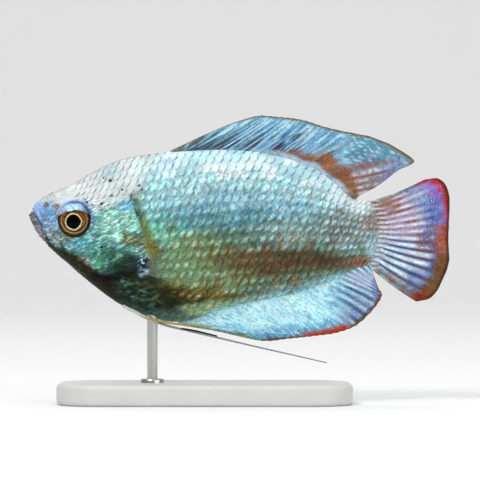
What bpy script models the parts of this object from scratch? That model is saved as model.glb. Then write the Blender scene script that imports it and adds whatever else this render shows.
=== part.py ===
"""Adult male dwarf gourami, life size, held level on a plain display stand.

The fish faces -X with its left side towards -Y, and Z is up. The origin is the middle of the
stand's underside. Sizes are in millimetres until a mesh is made, and side-view points are
(distance behind the snout tip, height above the body axis).
"""

import math

import bmesh
import bpy
import numpy as np

# Driving dimensions, in millimetres
MM = 0.001
GAP = 0.3
TOTAL_LENGTH = 80.0
SNOUT_X = -33.4
AXIS_Z = 33.0

# Side view: the back's and the belly's outline, without the fins
BACK = [(0.0, 3.0), (0.6, 3.6), (0.95, 4.9), (1.7, 5.6), (3.2, 6.6), (7.8, 8.6), (12.4, 11.2), (16.9, 13.3),
        (22.6, 14.4), (32.5, 15.2), (40.1, 15.2), (45.0, 14.6), (50.0, 13.4), (55.3, 11.1),
        (59.3, 8.0), (62.1, 6.1), (65.2, 5.7), (68.2, 5.6)]
BELLY = [(0.0, 2.7), (1.0, 0.2), (3.2, -2.7), (7.8, -6.9), (12.4, -10.8), (16.9, -14.0),
         (22.6, -16.5), (27.2, -17.5), (30.6, -17.2), (34.8, -15.8), (43.5, -13.5), (51.5, -11.8),
         (60.0, -8.6), (63.3, -7.4), (68.2, -7.0)]
# Height of the widest place of each cross-section, and half the width there
WIDEST = [(0.0, 2.85), (0.6, 2.6), (3.2, 1.5), (7.8, 0.2), (12.4, -0.6), (22.6, -1.0), (32.5, -0.4),
          (43.9, 0.4), (55.3, 0.0), (68.2, -0.8)]
HALF_WIDTH = [(0.0, 0.9), (1.0, 1.95), (3.2, 3.0), (7.8, 4.1), (12.4, 4.9), (19.2, 5.6),
              (26.8, 5.9), (38.2, 5.5), (49.6, 4.5), (60.0, 2.9), (65.2, 1.75), (68.2, 0.8)]
BODY_END = 68.2
# How far a section's rounded edge narrows to a keel: 1 is an ellipse
KEEL_BACK, KEEL_BELLY, KEEL_FROM = 1.15, 1.3, 12.0
BODY_RINGS, BODY_SIDES = 46, 24

# Seams between the named parts of the body, top to bottom
GILL_SEAM = [(16.0, 24.0), (16.5, 18.0), (17.5, 13.9), (18.4, 9.5), (19.4, 6.3), (20.4, 3.8), (21.4, 1.5),
             (22.0, -0.95), (22.4, -3.2), (22.0, -5.5), (20.7, -7.6), (18.4, -9.5), (16.0, -11.4),
             (14.2, -13.3), (12.8, -18.0), (12.0, -24.0)]
STALK_SEAM = [(59.0, 24.0), (60.4, 8.0), (61.0, 0.0), (60.4, -8.0), (59.0, -24.0)]
MOUTH_SEAM = [(-2.0, 2.2), (0.5, 3.5), (1.6, 2.3), (2.8, 0.5), (3.3, -1.2), (4.2, -4.2), (4.6, -8.0)]
FAR = 60.0

# Gill cover: the outline of the plate, and its thickness. Its rear runs past the gill seam
COVER_OUTLINE = [(17.2, 6.3), (15.8, 4.4), (15.5, 1.0), (15.9, -2.6), (16.9, -5.4), (18.8, -7.6),
                 (21.6, -7.9), (23.6, -4.6), (23.6, 0.0), (21.9, 4.4), (19.8, 6.6)]
COVER_THICKNESS = 1.2
COVER_PROUD = 0.1

# Eyes, whose outer faces lean in at the top as the flank does
EYE_CENTRE = (8.8, 2.0)
EYE_RADII = (3.25, 1.7, 3.5)
EYE_DEPTH = 0.9
EYE_LEAN = 7.0

# Unpaired fins: where each ray's tip lies, as (share of the base from front to rear, tip)
DORSAL_BASE = (26.6, 61.6)
DORSAL_FRONT = [(0.0, 27.8, 15.7), (0.03, 31.0, 17.0), (0.06, 35.0, 18.8), (0.09, 39.0, 20.5),
                (0.12, 42.4, 21.5), (0.20, 44.8, 21.7), (0.31, 47.4, 21.5), (0.39, 49.7, 21.3),
                (0.50, 52.8, 20.7), (0.60, 55.9, 19.7), (0.68, 59.3, 18.9), (0.74, 63.2, 18.1),
                (0.79, 66.9, 17.2), (0.82, 70.0, 15.4), (0.85, 73.2, 13.1)]
DORSAL_REAR = [(0.85, 73.2, 13.1), (0.89, 70.1, 11.3), (0.92, 67.8, 9.5), (0.95, 65.6, 8.0),
               (1.0, 62.6, 6.7)]
DORSAL_SPINES, DORSAL_SOFT_RAYS = 16, 9
DORSAL_SOFT_FROM, DORSAL_TIP_AT = 0.62, 0.85
ANAL_BASE = (27.2, 64.8)
ANAL_MARGIN = [(0.0, 28.7, -18.15), (0.06, 35.3, -19.2), (0.12, 40.1, -20.3), (0.20, 44.3, -21.1),
               (0.32, 49.2, -20.7), (0.45, 54.0, -20.2), (0.58, 59.1, -19.4), (0.68, 62.7, -17.8),
               (0.757, 65.7, -14.8), (0.82, 67.0, -12.7), (0.92, 66.3, -10.9), (1.0, 65.4, -8.4)]
ANAL_RAYS = 31

# Tail fin: the curved end of the stalk, and where the ray tips lie from top to bottom
TAIL_ROOT = {"reach": 67.8, "drop": 2.1, "middle": -0.4, "half": 6.65, "top": 5.7, "bottom": -7.3}
TAIL_MARGIN = [(0.0, 76.6, 10.0), (0.06, 77.9, 9.5), (0.12, 79.0, 8.5), (0.20, 79.8, 6.5),
               (0.30, 80.0, 3.8), (0.42, 79.8, 0.8), (0.52, 79.7, -1.9), (0.62, 79.9, -4.6),
               (0.72, 79.5, -7.0), (0.80, 78.5, -9.3), (0.88, 77.1, -11.4), (0.94, 75.6, -13.0),
               (1.0, 73.7, -13.8)]
TAIL_RAYS = 16
TAIL_BOW = -0.4

# Pectoral fins: a fan behind the gill cover that stands off the flank
PECTORAL_ROOT = ((22.5, -6.3), (23.1, -8.5))
PECTORAL_ANGLES = (44.0, -16.0)
PECTORAL_LENGTHS = (8.2, 3.9)
PECTORAL_STANDS_OFF = 14.0
PECTORAL_RAYS = 11

# Fins' thickness: at the root, at the margin and between rays
THICK_ROOT, THICK_MARGIN, WEB_SHARE, THIN_FIN = 0.95, 0.62, 0.82, 0.5

# Pelvic feelers: (distance, height, sideways) of each thread's centre
FEELER_LEFT = [(17.9, -14.4, -1.3), (19.8, -15.5, -1.5), (23.0, -16.9, -1.75), (26.4, -17.8, -1.7),
               (29.3, -18.2, -1.5), (32.7, -18.4, -1.3), (37.8, -18.7, -1.15), (42.8, -19.1, -1.1),
               (48.6, -19.7, -1.1)]
FEELER_RIGHT = [(17.9, -14.4, 1.3), (19.8, -15.5, 1.5), (23.0, -17.1, 1.8), (26.4, -18.3, 1.9),
                (29.3, -19.0, 2.0), (32.7, -19.8, 2.1), (37.8, -21.0, 2.3), (43.3, -22.3, 2.6),
                (48.8, -23.55, 2.9), (56.6, -25.35, 3.4)]
FEELER_RADII = (0.3, 0.25)
FEELER_SIDES, FEELER_STEPS = 6, 30

# Display stand
BASE_LENGTH, BASE_WIDTH, BASE_THICKNESS = 56.0, 26.0, 4.0
BASE_CORNER, BASE_BEVEL = 9.0, 0.7
ROD_AT, ROD_RADIUS, ROD_SIDES = 23.4, 1.0, 20
ROD_IN_BASE, ROD_IN_BODY, ROD_CLEARANCE = 2.2, 1.6, 0.15

COLOURS = {
    "skin": ((0.45, 0.66, 0.68), 0.35, 0.2),
    "cover": ((0.42, 0.66, 0.62), 0.32, 0.25),
    "jaw": ((0.42, 0.46, 0.48), 0.4, 0.1),
    "fin": ((0.38, 0.6, 0.78), 0.4, 0.1),
    "pectoral": ((0.62, 0.64, 0.52), 0.4, 0.0),
    "feeler": ((0.72, 0.62, 0.34), 0.45, 0.0),
    "eye": ((0.05, 0.04, 0.03), 0.08, 0.0),
    "stand": ((0.78, 0.78, 0.77), 0.55, 0.0),
    "steel": ((0.62, 0.62, 0.6), 0.3, 1.0),
}


def smooth(knots):
    """A smooth curve through (position, value) knots, as a function of the position."""
    x, y = np.array(knots, float).T
    span = np.diff(x)
    secant = np.diff(y) / span
    slope = np.empty_like(y)
    slope[1:-1] = (secant[:-1] * span[1:] + secant[1:] * span[:-1]) / (span[1:] + span[:-1])
    slope[0], slope[-1] = 1.5 * secant[0] - 0.5 * slope[1], 1.5 * secant[-1] - 0.5 * slope[-2]

    def at(position):
        position = np.clip(position, x[0], x[-1])
        i = np.clip(np.searchsorted(x, position) - 1, 0, len(x) - 2)
        t = (position - x[i]) / span[i]
        here = (1 + 2 * t) * (1 - t) ** 2 * y[i] + t * (1 - t) ** 2 * span[i] * slope[i]
        there = t * t * (3 - 2 * t) * y[i + 1] + t * t * (t - 1) * span[i] * slope[i + 1]
        return here + there

    return at


back, belly = smooth(BACK), smooth(BELLY)
widest, half_width = smooth(WIDEST), smooth(HALF_WIDTH)


def keel(distance, full):
    """The keel exponent at a distance behind the snout, which is round."""
    return 1 + (full - 1) * min(1.0, distance / KEEL_FROM)


def section_point(distance, angle):
    """A point of the body's surface. The angle runs from 0 on the back to pi on the belly."""
    up = math.cos(angle)
    middle = widest(distance)
    reach = back(distance) - middle if up > 0 else middle - belly(distance)
    shape = keel(distance, KEEL_BACK if up > 0 else KEEL_BELLY)
    sideways = half_width(distance) * abs(math.sin(angle)) ** shape
    return distance, math.copysign(sideways, math.sin(angle)), middle + reach * up


def flank(distance, height):
    """The body's half width at a place in the side view."""
    middle = widest(distance)
    over = height > middle
    reach = back(distance) - middle if over else middle - belly(distance)
    share = min(1.0, abs(height - middle) / reach)
    shape = keel(distance, KEEL_BACK if over else KEEL_BELLY)
    return half_width(distance) * (1 - share**2) ** (shape / 2)


def place(point):
    """A point (distance, sideways, height) in millimetres, in the part's frame in metres."""
    distance, sideways, height = point
    return (distance + SNOUT_X) * MM, sideways * MM, (height + AXIS_Z) * MM


def material(name):
    found = bpy.data.materials.get(name)
    if found:
        return found
    colour, roughness, metallic = COLOURS[name]
    made = bpy.data.materials.new(name)
    made.use_nodes = True
    shader = made.node_tree.nodes["Principled BSDF"]
    shader.inputs["Base Color"].default_value = (*colour, 1)
    shader.inputs["Roughness"].default_value = roughness
    shader.inputs["Metallic"].default_value = metallic
    return made


def new_object(name, points, faces, finish=None, smooth_angle=40.0):
    """An object from points in millimetres. One without a finish is a cutter."""
    mesh = bpy.data.meshes.new(name)
    mesh.from_pydata([place(p) for p in points], [], faces)
    made = bmesh.new()
    made.from_mesh(mesh)
    bmesh.ops.recalc_face_normals(made, faces=made.faces)
    made.to_mesh(mesh)
    made.free()
    thing = bpy.data.objects.new(name, mesh)
    bpy.context.scene.collection.objects.link(thing)
    if finish:
        mesh.materials.append(material(finish))
        mesh.shade_smooth()
        mesh.set_sharp_from_angle(angle=math.radians(smooth_angle))
    else:
        thing.hide_render = True
        thing.display_type = "WIRE"
    return thing


def boolean(thing, cutter, operation="DIFFERENCE"):
    modifier = thing.modifiers.new(cutter.name, "BOOLEAN")
    modifier.operation = operation
    modifier.object = cutter


def lofted(rings):
    """Points and faces of a closed solid through rings of equal counts, with flat ends."""
    count = len(rings[0])
    points = [p for ring in rings for p in ring]
    faces = []
    for i in range(len(rings) - 1):
        for j in range(count):
            k = (j + 1) % count
            faces.append((i * count + j, i * count + k, (i + 1) * count + k, (i + 1) * count + j))
    faces.append(tuple(range(count)))
    faces.append(tuple(range((len(rings) - 1) * count, len(rings) * count)))
    return points, faces


def body_object(name, finish):
    """The whole body, closer ringed at the snout, ready to be parted."""
    rings = []
    for i in range(BODY_RINGS + 1):
        distance = BODY_END * (i / BODY_RINGS) ** 1.35
        turn = [2 * math.pi * j / BODY_SIDES for j in range(BODY_SIDES)]
        rings.append([section_point(distance, angle) for angle in turn])
    return new_object(name, *lofted(rings), finish)


def shifted(line, by):
    """A side-view line moved square to itself. A top to bottom line moves back by a plus."""
    points = np.array(line, float)
    run = np.gradient(points, axis=0)
    run /= np.linalg.norm(run, axis=1)[:, None]
    return points + by * np.stack([-run[:, 1], run[:, 0]], axis=1)


def slab(name, outline):
    """A cutter: a side-view outline pulled out far to both sides."""
    near = [(x, -FAR, z) for x, z in outline]
    far = [(x, FAR, z) for x, z in outline]
    return new_object(name, *lofted([near, far]))


def half_space(name, seam, by, rear):
    """All that is in front of a seam, or behind it, once the seam is moved by the given amount."""
    line = [tuple(p) for p in shifted(seam, by)]
    edge = BODY_END + FAR if rear else -FAR
    return slab(name, [(edge, line[0][1]), *line, (edge, line[-1][1])])


def closed_curve(points, steps):
    """A smooth closed line through side-view points."""
    count = len(points)
    wrapped = [points[(i - 2) % count] for i in range(count + 5)]
    across = smooth([(i - 2, p[0]) for i, p in enumerate(wrapped)])
    upward = smooth([(i - 2, p[1]) for i, p in enumerate(wrapped)])
    return [(float(across(s)), float(upward(s))) for s in np.arange(steps) * count / steps]


def cover_shell(name, side, grow, inner, outer, finish=None):
    """A curved plate on the flank inside the cover's outline, between two depths in the surface."""
    outline = np.array(closed_curve(COVER_OUTLINE, 22))
    middle = outline.mean(axis=0)
    spokes = outline - middle
    longer = 1 + grow / np.linalg.norm(spokes, axis=1)[:, None]
    shares = (0.35, 0.7, 1.0)
    points, count = [], len(outline)
    for depth in (outer, inner):
        for share in shares:
            for x, z in middle + spokes * longer * share:
                points.append((x, side * max(0.4, flank(x, z) + depth), z))
        points.append((middle[0], side * (flank(*middle) + depth), middle[1]))
    layer = len(shares) * count + 1
    faces = []
    for start in (0, layer):
        for j in range(count):
            k = (j + 1) % count
            faces.append((start + layer - 1, start + j, start + k))
            for r in range(len(shares) - 1):
                a, b = start + r * count, start + (r + 1) * count
                faces.append((a + j, a + k, b + k, b + j))
    rim = (len(shares) - 1) * count
    for j in range(count):
        k = (j + 1) % count
        faces.append((rim + j, rim + k, layer + rim + k, layer + rim + j))
    return new_object(name, points, faces, finish)


def ellipsoid(name, side, grow, finish=None, turns=18, rows=10):
    """An eyeball, or with no finish the socket that it sits in."""
    centre_y = flank(*EYE_CENTRE) - EYE_DEPTH
    radii = [r + grow for r in EYE_RADII]
    lean = math.radians(EYE_LEAN)
    rings = []
    for i in range(1, rows):
        polar = math.pi * i / rows
        ring = []
        for j in range(turns):
            turn = 2 * math.pi * j / turns
            out, up = -radii[1] * math.cos(polar), radii[2] * math.sin(polar) * math.sin(turn)
            ring.append((EYE_CENTRE[0] + radii[0] * math.sin(polar) * math.cos(turn),
                         side * (centre_y + out * math.cos(lean) - up * math.sin(lean)),
                         EYE_CENTRE[1] + up * math.cos(lean) + out * math.sin(lean)))
        rings.append(ring)
    return new_object(name, *lofted(rings), finish)


def ray_paths(roots, tips, bows, rows):
    """Each fin ray from its root to its tip, as rows of points, bowed at mid length."""
    share = np.linspace(0, 1, rows)[None, :, None]
    straight = roots[:, None] * (1 - share) + tips[:, None] * share
    return straight + bows[:, None] * (4 * share * (1 - share))


def fin_sheet(name, roots, tips, bows, normals, finish, rows=5, notch=0.025,
              thick=(THICK_ROOT, THICK_MARGIN)):
    """A closed fin whose rays stand out as ribs, with its margin notched between them."""
    rays = ray_paths(roots, tips, bows, rows)
    webs = (rays[:-1] + rays[1:]) / 2
    pull = notch * np.linspace(0, 1, rows)[None, :, None] ** 3
    webs = webs - pull * (webs[:, -1:] - webs[:, :1])
    columns = np.empty((2 * len(rays) - 1, rows, 3))
    columns[0::2], columns[1::2] = rays, webs
    outward = np.repeat(normals, 2, axis=0)[:-1]
    share = np.linspace(0, 1, rows)
    half = (thick[0] * (1 - share) + thick[1] * share)[None, :] / 2
    half = np.repeat(half, len(columns), axis=0)
    half[1::2] = np.maximum(half[1::2] * WEB_SHARE, THIN_FIN / 2)
    points = []
    for side in (1, -1):
        sheet = columns + side * half[:, :, None] * outward[:, None]
        points += [tuple(p) for p in sheet.reshape(-1, 3)]
    wide, layer = len(columns), len(columns) * rows
    faces = []
    for start in (0, layer):
        for c in range(wide - 1):
            for r in range(rows - 1):
                a = start + c * rows + r
                faces.append((a, a + 1, a + rows + 1, a + rows))
    rim = [c * rows for c in range(wide)] + [(wide - 1) * rows + r for r in range(1, rows)]
    rim += [c * rows + rows - 1 for c in range(wide - 2, -1, -1)] + list(range(rows - 2, 0, -1))
    for a, b in zip(rim, rim[1:] + rim[:1]):
        faces.append((a, b, layer + b, layer + a))
    return new_object(name, points, faces, finish, smooth_angle=60.0)


def margin_points(shares, *stretches):
    """Tips at the given shares of the base, read from margin stretches that meet at corners."""
    tips = []
    for share in shares:
        table = next(t for t in stretches if share <= t[-1][0])
        tips.append([smooth([(s, v) for s, v, _ in table])(share),
                     smooth([(s, v) for s, _, v in table])(share)])
    return np.array(tips, float)


def upright(flat, sideways):
    """Side-view points (distance, height) as (distance, sideways, height)."""
    return np.stack([flat[:, 0], sideways, flat[:, 1]], axis=1)


def median_fin(name, base, shares, tips, edge, off, bow, ripple):
    """The dorsal or anal fin, whose roots follow the body's edge at a small distance off it."""
    distance = base[0] + (base[1] - base[0]) * shares
    roots = np.stack([distance, edge(distance) + off], axis=1)
    wave = ripple * np.sin(shares * 2 * math.pi * 1.5 + 0.6)
    bows = upright(np.stack([0 * shares, np.full_like(shares, bow)], axis=1), wave / 2)
    facing = np.tile([0.0, 1.0, 0.0], (len(shares), 1))
    return fin_sheet(name, upright(roots, 0 * wave), upright(tips, wave), bows, facing, "fin")


def dorsal_fin():
    spines = np.linspace(0, DORSAL_SOFT_FROM, DORSAL_SPINES)
    step = (DORSAL_TIP_AT - DORSAL_SOFT_FROM) / 5
    soft = [DORSAL_SOFT_FROM + step * i for i in range(1, 6)] + [0.89, 0.925, 0.96, 1.0]
    shares = np.array([*spines, *soft[:DORSAL_SOFT_RAYS]])
    tips = margin_points(shares, DORSAL_FRONT, DORSAL_REAR)
    return median_fin("dorsal_fin", DORSAL_BASE, shares, tips, back, GAP + 0.05, -0.25, 0.35)


def anal_fin():
    shares = np.linspace(0, 1, ANAL_RAYS)
    tips = margin_points(shares, ANAL_MARGIN)
    return median_fin("anal_fin", ANAL_BASE, shares, tips, belly, -GAP - 0.05, 0.2, 0.25)


def tail_edge(height):
    """How far back the tail stalk reaches at a height."""
    lean = (height - TAIL_ROOT["middle"]) / TAIL_ROOT["half"]
    return TAIL_ROOT["reach"] - TAIL_ROOT["drop"] * lean**2


def tail_fin():
    shares = np.linspace(0, 1, TAIL_RAYS)
    heights = TAIL_ROOT["top"] + (TAIL_ROOT["bottom"] - TAIL_ROOT["top"]) * shares
    roots = np.stack([tail_edge(heights) + GAP / 2, heights], axis=1)
    tips = margin_points(shares, TAIL_MARGIN)
    wave = 0.5 * np.sin(shares * 2 * math.pi + 0.4)
    bows = upright(np.stack([0 * shares, np.full_like(shares, TAIL_BOW)], axis=1), wave / 2)
    facing = np.tile([0.0, 1.0, 0.0], (TAIL_RAYS, 1))
    return fin_sheet("tail_fin", upright(roots, 0 * wave), upright(tips, wave), bows, facing, "fin", rows=6)


def pectoral_fin(name, side):
    shares = np.linspace(0, 1, PECTORAL_RAYS)
    (top_x, top_z), (low_x, low_z) = PECTORAL_ROOT
    root_x, root_z = top_x + (low_x - top_x) * shares, top_z + (low_z - top_z) * shares
    root_y = np.array([flank(x, z) for x, z in zip(root_x, root_z)]) + GAP + THICK_ROOT / 2
    angles = np.radians(PECTORAL_ANGLES[0] + (PECTORAL_ANGLES[1] - PECTORAL_ANGLES[0]) * shares)
    lengths = PECTORAL_LENGTHS[0] + PECTORAL_LENGTHS[1] * np.sin(math.pi * shares**0.85)
    off = math.radians(PECTORAL_STANDS_OFF)
    roots = np.stack([root_x, side * root_y, root_z], axis=1)
    reach = np.stack([np.cos(angles) * math.cos(off), np.full_like(angles, side * math.sin(off)),
                      np.sin(angles) * math.cos(off)], axis=1)
    tips = roots + reach * lengths[:, None]
    facing = np.tile([-side * math.sin(off), math.cos(off), 0.0], (PECTORAL_RAYS, 1))
    bows = np.zeros_like(roots)
    bows[:, 1] = side * 0.3
    return fin_sheet(name, roots, tips, bows, facing, "pectoral", notch=0.03, thick=(0.7, 0.52))


def feeler(name, centres):
    """A pelvic fin drawn out to a single thread."""
    knots = np.array(centres, float)
    run = np.concatenate([[0], np.cumsum(np.linalg.norm(np.diff(knots, axis=0), axis=1))])
    axes = [smooth(list(zip(run, knots[:, i]))) for i in range(3)]
    rings = []
    for i in range(FEELER_STEPS + 1):
        s = run[-1] * i / FEELER_STEPS
        x, z, y = (float(axis(s)) for axis in axes)
        radius = FEELER_RADII[0] + (FEELER_RADII[1] - FEELER_RADII[0]) * i / FEELER_STEPS
        turn = [2 * math.pi * j / FEELER_SIDES for j in range(FEELER_SIDES)]
        # The thread runs down and back at a low angle, so its rings stand square to X
        rings.append([(x, y + radius * math.cos(a), z + radius * math.sin(a)) for a in turn])
    return new_object(name, *lofted(rings), "feeler", smooth_angle=70.0)


def cylinder(name, radius, low, high, finish=None):
    """An upright round bar at the rod's place, between two heights above the floor."""
    turn = [2 * math.pi * j / ROD_SIDES for j in range(ROD_SIDES)]
    rings = []
    for height in (low, high):
        z = height - AXIS_Z
        rings.append([(ROD_AT + radius * math.cos(a), radius * math.sin(a), z) for a in turn])
    return new_object(name, *lofted(rings), finish)


def stand(rod_top):
    """The flat base with a drilled seat, and the rod in it."""
    corner_x, corner_y = BASE_LENGTH / 2 - BASE_CORNER, BASE_WIDTH / 2 - BASE_CORNER
    outline = []
    for quarter, (sx, sy) in enumerate([(1, 1), (-1, 1), (-1, -1), (1, -1)]):
        for step in range(7):
            a = math.pi / 2 * (quarter + step / 6)
            outline.append((sx * corner_x + BASE_CORNER * math.cos(a) - SNOUT_X,
                            sy * corner_y + BASE_CORNER * math.sin(a)))
    rings = [[(x, y, z - AXIS_Z) for x, y in outline] for z in (0.0, BASE_THICKNESS)]
    base = new_object("stand_base", *lofted(rings), "stand")
    bevel = base.modifiers.new("edge", "BEVEL")
    bevel.width = BASE_BEVEL * MM
    bevel.segments = 2
    bevel.angle_limit = math.radians(60)
    seat_floor = BASE_THICKNESS - ROD_IN_BASE
    boolean(base, cylinder("rod_seat", ROD_RADIUS + ROD_CLEARANCE, seat_floor, BASE_THICKNESS + 5))
    cylinder("stand_rod", ROD_RADIUS, seat_floor + ROD_CLEARANCE, rod_top, "steel")


def build():
    for old in list(bpy.data.objects):
        bpy.data.objects.remove(old)

    sides = {"left": -1, "right": 1}
    front_of_gill = half_space("front_of_gill", GILL_SEAM, -GAP / 2, rear=False)
    behind_gill = half_space("behind_gill", GILL_SEAM, GAP / 2, rear=True)
    front_of_stalk = half_space("front_of_stalk", STALK_SEAM, -GAP / 2, rear=False)
    behind_stalk = half_space("behind_stalk", STALK_SEAM, GAP / 2, rear=True)
    jaw_space = half_space("jaw_space", MOUTH_SEAM, -GAP / 2, rear=False)
    jaw_cutter = half_space("jaw_cutter", MOUTH_SEAM, GAP / 2, rear=False)
    heights = np.linspace(12, -14, 15)
    tail_line = [(tail_edge(h) - GAP / 2, h) for h in heights]
    front_of_tail = slab("front_of_tail", [(-FAR, heights[0]), *tail_line, (-FAR, heights[-1])])

    head = body_object("head", "skin")
    boolean(head, front_of_gill, "INTERSECT")
    boolean(head, jaw_cutter)
    for word, side in sides.items():
        boolean(head, ellipsoid(f"socket_{word}", side, GAP))
        boolean(head, cover_shell(f"gill_recess_{word}", side, GAP, -COVER_THICKNESS - GAP, 2.0))
        ellipsoid(f"eye_{word}", side, 0, "eye")
        cover = cover_shell(f"gill_cover_{word}", side, 0, -COVER_THICKNESS, COVER_PROUD, "cover")
        boolean(cover, front_of_gill, "INTERSECT")
        pectoral_fin(f"pectoral_fin_{word}", side)

    jaw = body_object("lower_jaw", "jaw")
    boolean(jaw, jaw_space, "INTERSECT")

    rod_top = AXIS_Z + float(belly(ROD_AT)) + ROD_IN_BODY
    trunk = body_object("trunk", "skin")
    boolean(trunk, behind_gill, "INTERSECT")
    boolean(trunk, front_of_stalk, "INTERSECT")
    boolean(trunk, cylinder("rod_hole", ROD_RADIUS + GAP, 0.0, rod_top + GAP))

    stalk = body_object("tail_stalk", "skin")
    boolean(stalk, behind_stalk, "INTERSECT")
    boolean(stalk, front_of_tail, "INTERSECT")

    dorsal_fin()
    anal_fin()
    tail_fin()
    feeler("pelvic_feeler_left", FEELER_LEFT)
    feeler("pelvic_feeler_right", FEELER_RIGHT)
    stand(rod_top)


build()
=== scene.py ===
"""Looks of the dwarf gourami: its skin, scales, eyes, fins and feelers, and the display stand.

Places on the fish are (distance behind the jaw's tip, sideways, height above the body axis), in
millimetres, until a mesh is made. A minus sideways is the fish's left, which faces the camera.
"""

import math

import bmesh
import bpy
import numpy as np
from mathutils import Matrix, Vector


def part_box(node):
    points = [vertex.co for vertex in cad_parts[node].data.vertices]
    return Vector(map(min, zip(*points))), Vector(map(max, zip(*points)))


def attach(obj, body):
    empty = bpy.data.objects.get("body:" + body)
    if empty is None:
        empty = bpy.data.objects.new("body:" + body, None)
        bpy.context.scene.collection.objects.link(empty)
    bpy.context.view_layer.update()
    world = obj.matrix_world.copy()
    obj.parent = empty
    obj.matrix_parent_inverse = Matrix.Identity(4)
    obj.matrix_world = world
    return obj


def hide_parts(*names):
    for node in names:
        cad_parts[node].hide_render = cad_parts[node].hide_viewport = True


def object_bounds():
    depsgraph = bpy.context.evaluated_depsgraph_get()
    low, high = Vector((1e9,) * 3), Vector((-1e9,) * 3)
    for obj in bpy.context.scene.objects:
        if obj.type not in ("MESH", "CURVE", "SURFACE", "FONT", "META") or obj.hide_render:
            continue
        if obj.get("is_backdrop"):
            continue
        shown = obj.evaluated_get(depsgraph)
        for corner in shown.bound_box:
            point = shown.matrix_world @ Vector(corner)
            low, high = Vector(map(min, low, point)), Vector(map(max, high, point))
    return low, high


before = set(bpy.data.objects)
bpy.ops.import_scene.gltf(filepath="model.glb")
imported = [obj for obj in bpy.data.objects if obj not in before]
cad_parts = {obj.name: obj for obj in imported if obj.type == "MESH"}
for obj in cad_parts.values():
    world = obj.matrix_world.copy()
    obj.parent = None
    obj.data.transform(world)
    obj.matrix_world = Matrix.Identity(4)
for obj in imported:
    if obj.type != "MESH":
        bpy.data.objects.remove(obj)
cad_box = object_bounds()

# Frame
MM = 0.001
SNOUT_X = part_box("lower_jaw")[0][0] / MM
AXIS_Z = 33.0
SIDES = {"left": -1, "right": 1}

# Body outline, widest place and half width, as the solids have them
BACK = [(0.0, 3.0), (0.6, 3.6), (0.95, 4.9), (1.7, 5.6), (3.2, 6.6), (7.8, 8.6), (12.4, 11.2),
        (16.9, 13.3), (22.6, 14.4), (32.5, 15.2), (40.1, 15.2), (45.0, 14.6), (50.0, 13.4),
        (55.3, 11.1), (59.3, 8.0), (62.1, 6.1), (65.2, 5.7), (68.2, 5.6)]
BELLY = [(0.0, 2.7), (1.0, 0.2), (3.2, -2.7), (7.8, -6.9), (12.4, -10.8), (16.9, -14.0),
         (22.6, -16.5), (27.2, -17.5), (30.6, -17.2), (34.8, -15.8), (43.5, -13.5), (51.5, -11.8),
         (60.0, -8.6), (63.3, -7.4), (68.2, -7.0)]
WIDEST = [(0.0, 2.85), (0.6, 2.6), (3.2, 1.5), (7.8, 0.2), (12.4, -0.6), (22.6, -1.0), (32.5, -0.4),
          (43.9, 0.4), (55.3, 0.0), (68.2, -0.8)]
HALF_WIDTH = [(0.0, 0.9), (1.0, 1.95), (3.2, 3.0), (7.8, 4.1), (12.4, 4.9), (19.2, 5.6),
              (26.8, 5.9), (38.2, 5.5), (49.6, 4.5), (60.0, 2.9), (65.2, 1.75), (68.2, 0.8)]
BODY_END, STALK_FROM = 68.2, 58.0
KEEL_BACK, KEEL_BELLY, KEEL_FROM = 1.15, 1.3, 12.0
TAIL_REACH, TAIL_DROP, TAIL_MIDDLE, TAIL_HALF = 67.8, 2.1, -0.4, 6.65
COAT_DEPTH = 0.11

# Skin mesh
HEAD_RINGS, BODY_RINGS, HEAD_LENGTH, SKIN_SIDES = 225, 105, 25.0, 280

# Eye: its centre and the pupil's in the side view, the ball, and how its outer face leans
EYE_AT, PUPIL_AT = (8.8, 2.0), (8.64, 1.36)
EYE_RADII = (3.25, 1.7, 3.5)
EYE_DEPTH, EYE_LEAN = 0.9, 7.0
ORBIT = (3.05, 3.35)

# Lines on the head, in the side view
MOUTH = [(0.55, 3.75), (1.0, 3.2), (1.6, 2.3), (2.2, 1.4), (2.65, 0.6)]
GILL_EDGE = [(17.6, 6.6), (19.2, 6.2), (20.0, 4.2), (21.0, 1.7), (21.8, 0.1), (22.3, -2.3), (22.9, -5.1),
             (22.2, -6.8), (19.6, -8.3), (16.6, -9.4), (13.4, -9.6), (9.8, -8.1), (6.0, -5.6)]
CHEEK_GROOVE = [(14.9, 1.4), (15.3, -0.6), (15.9, -2.6), (16.3, -4.8), (15.6, -6.6), (13.6, -7.8)]
NOSTRILS = [(3.35, 4.75, 0.27), (5.4, 4.3, 0.36)]
PORES = [(15.5, 9.35, 0.3), (17.8, 7.65, 0.24), (15.9, 6.45, 0.3), (13.95, 4.95, 0.3), (11.15, 5.2, 0.26),
         (13.95, -3.2, 0.28), (21.0, 8.4, 0.22), (21.6, 7.6, 0.18), (14.2, 9.9, 0.16)]

# A pore's stud: distances from its middle as shares of its size, and heights over the skin
PORE_STUD = [(0.0, 0.03), (0.55, 0.02), (0.9, -0.03), (0.9, -0.16), (0.55, -0.16), (0.0, -0.16)]

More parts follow.
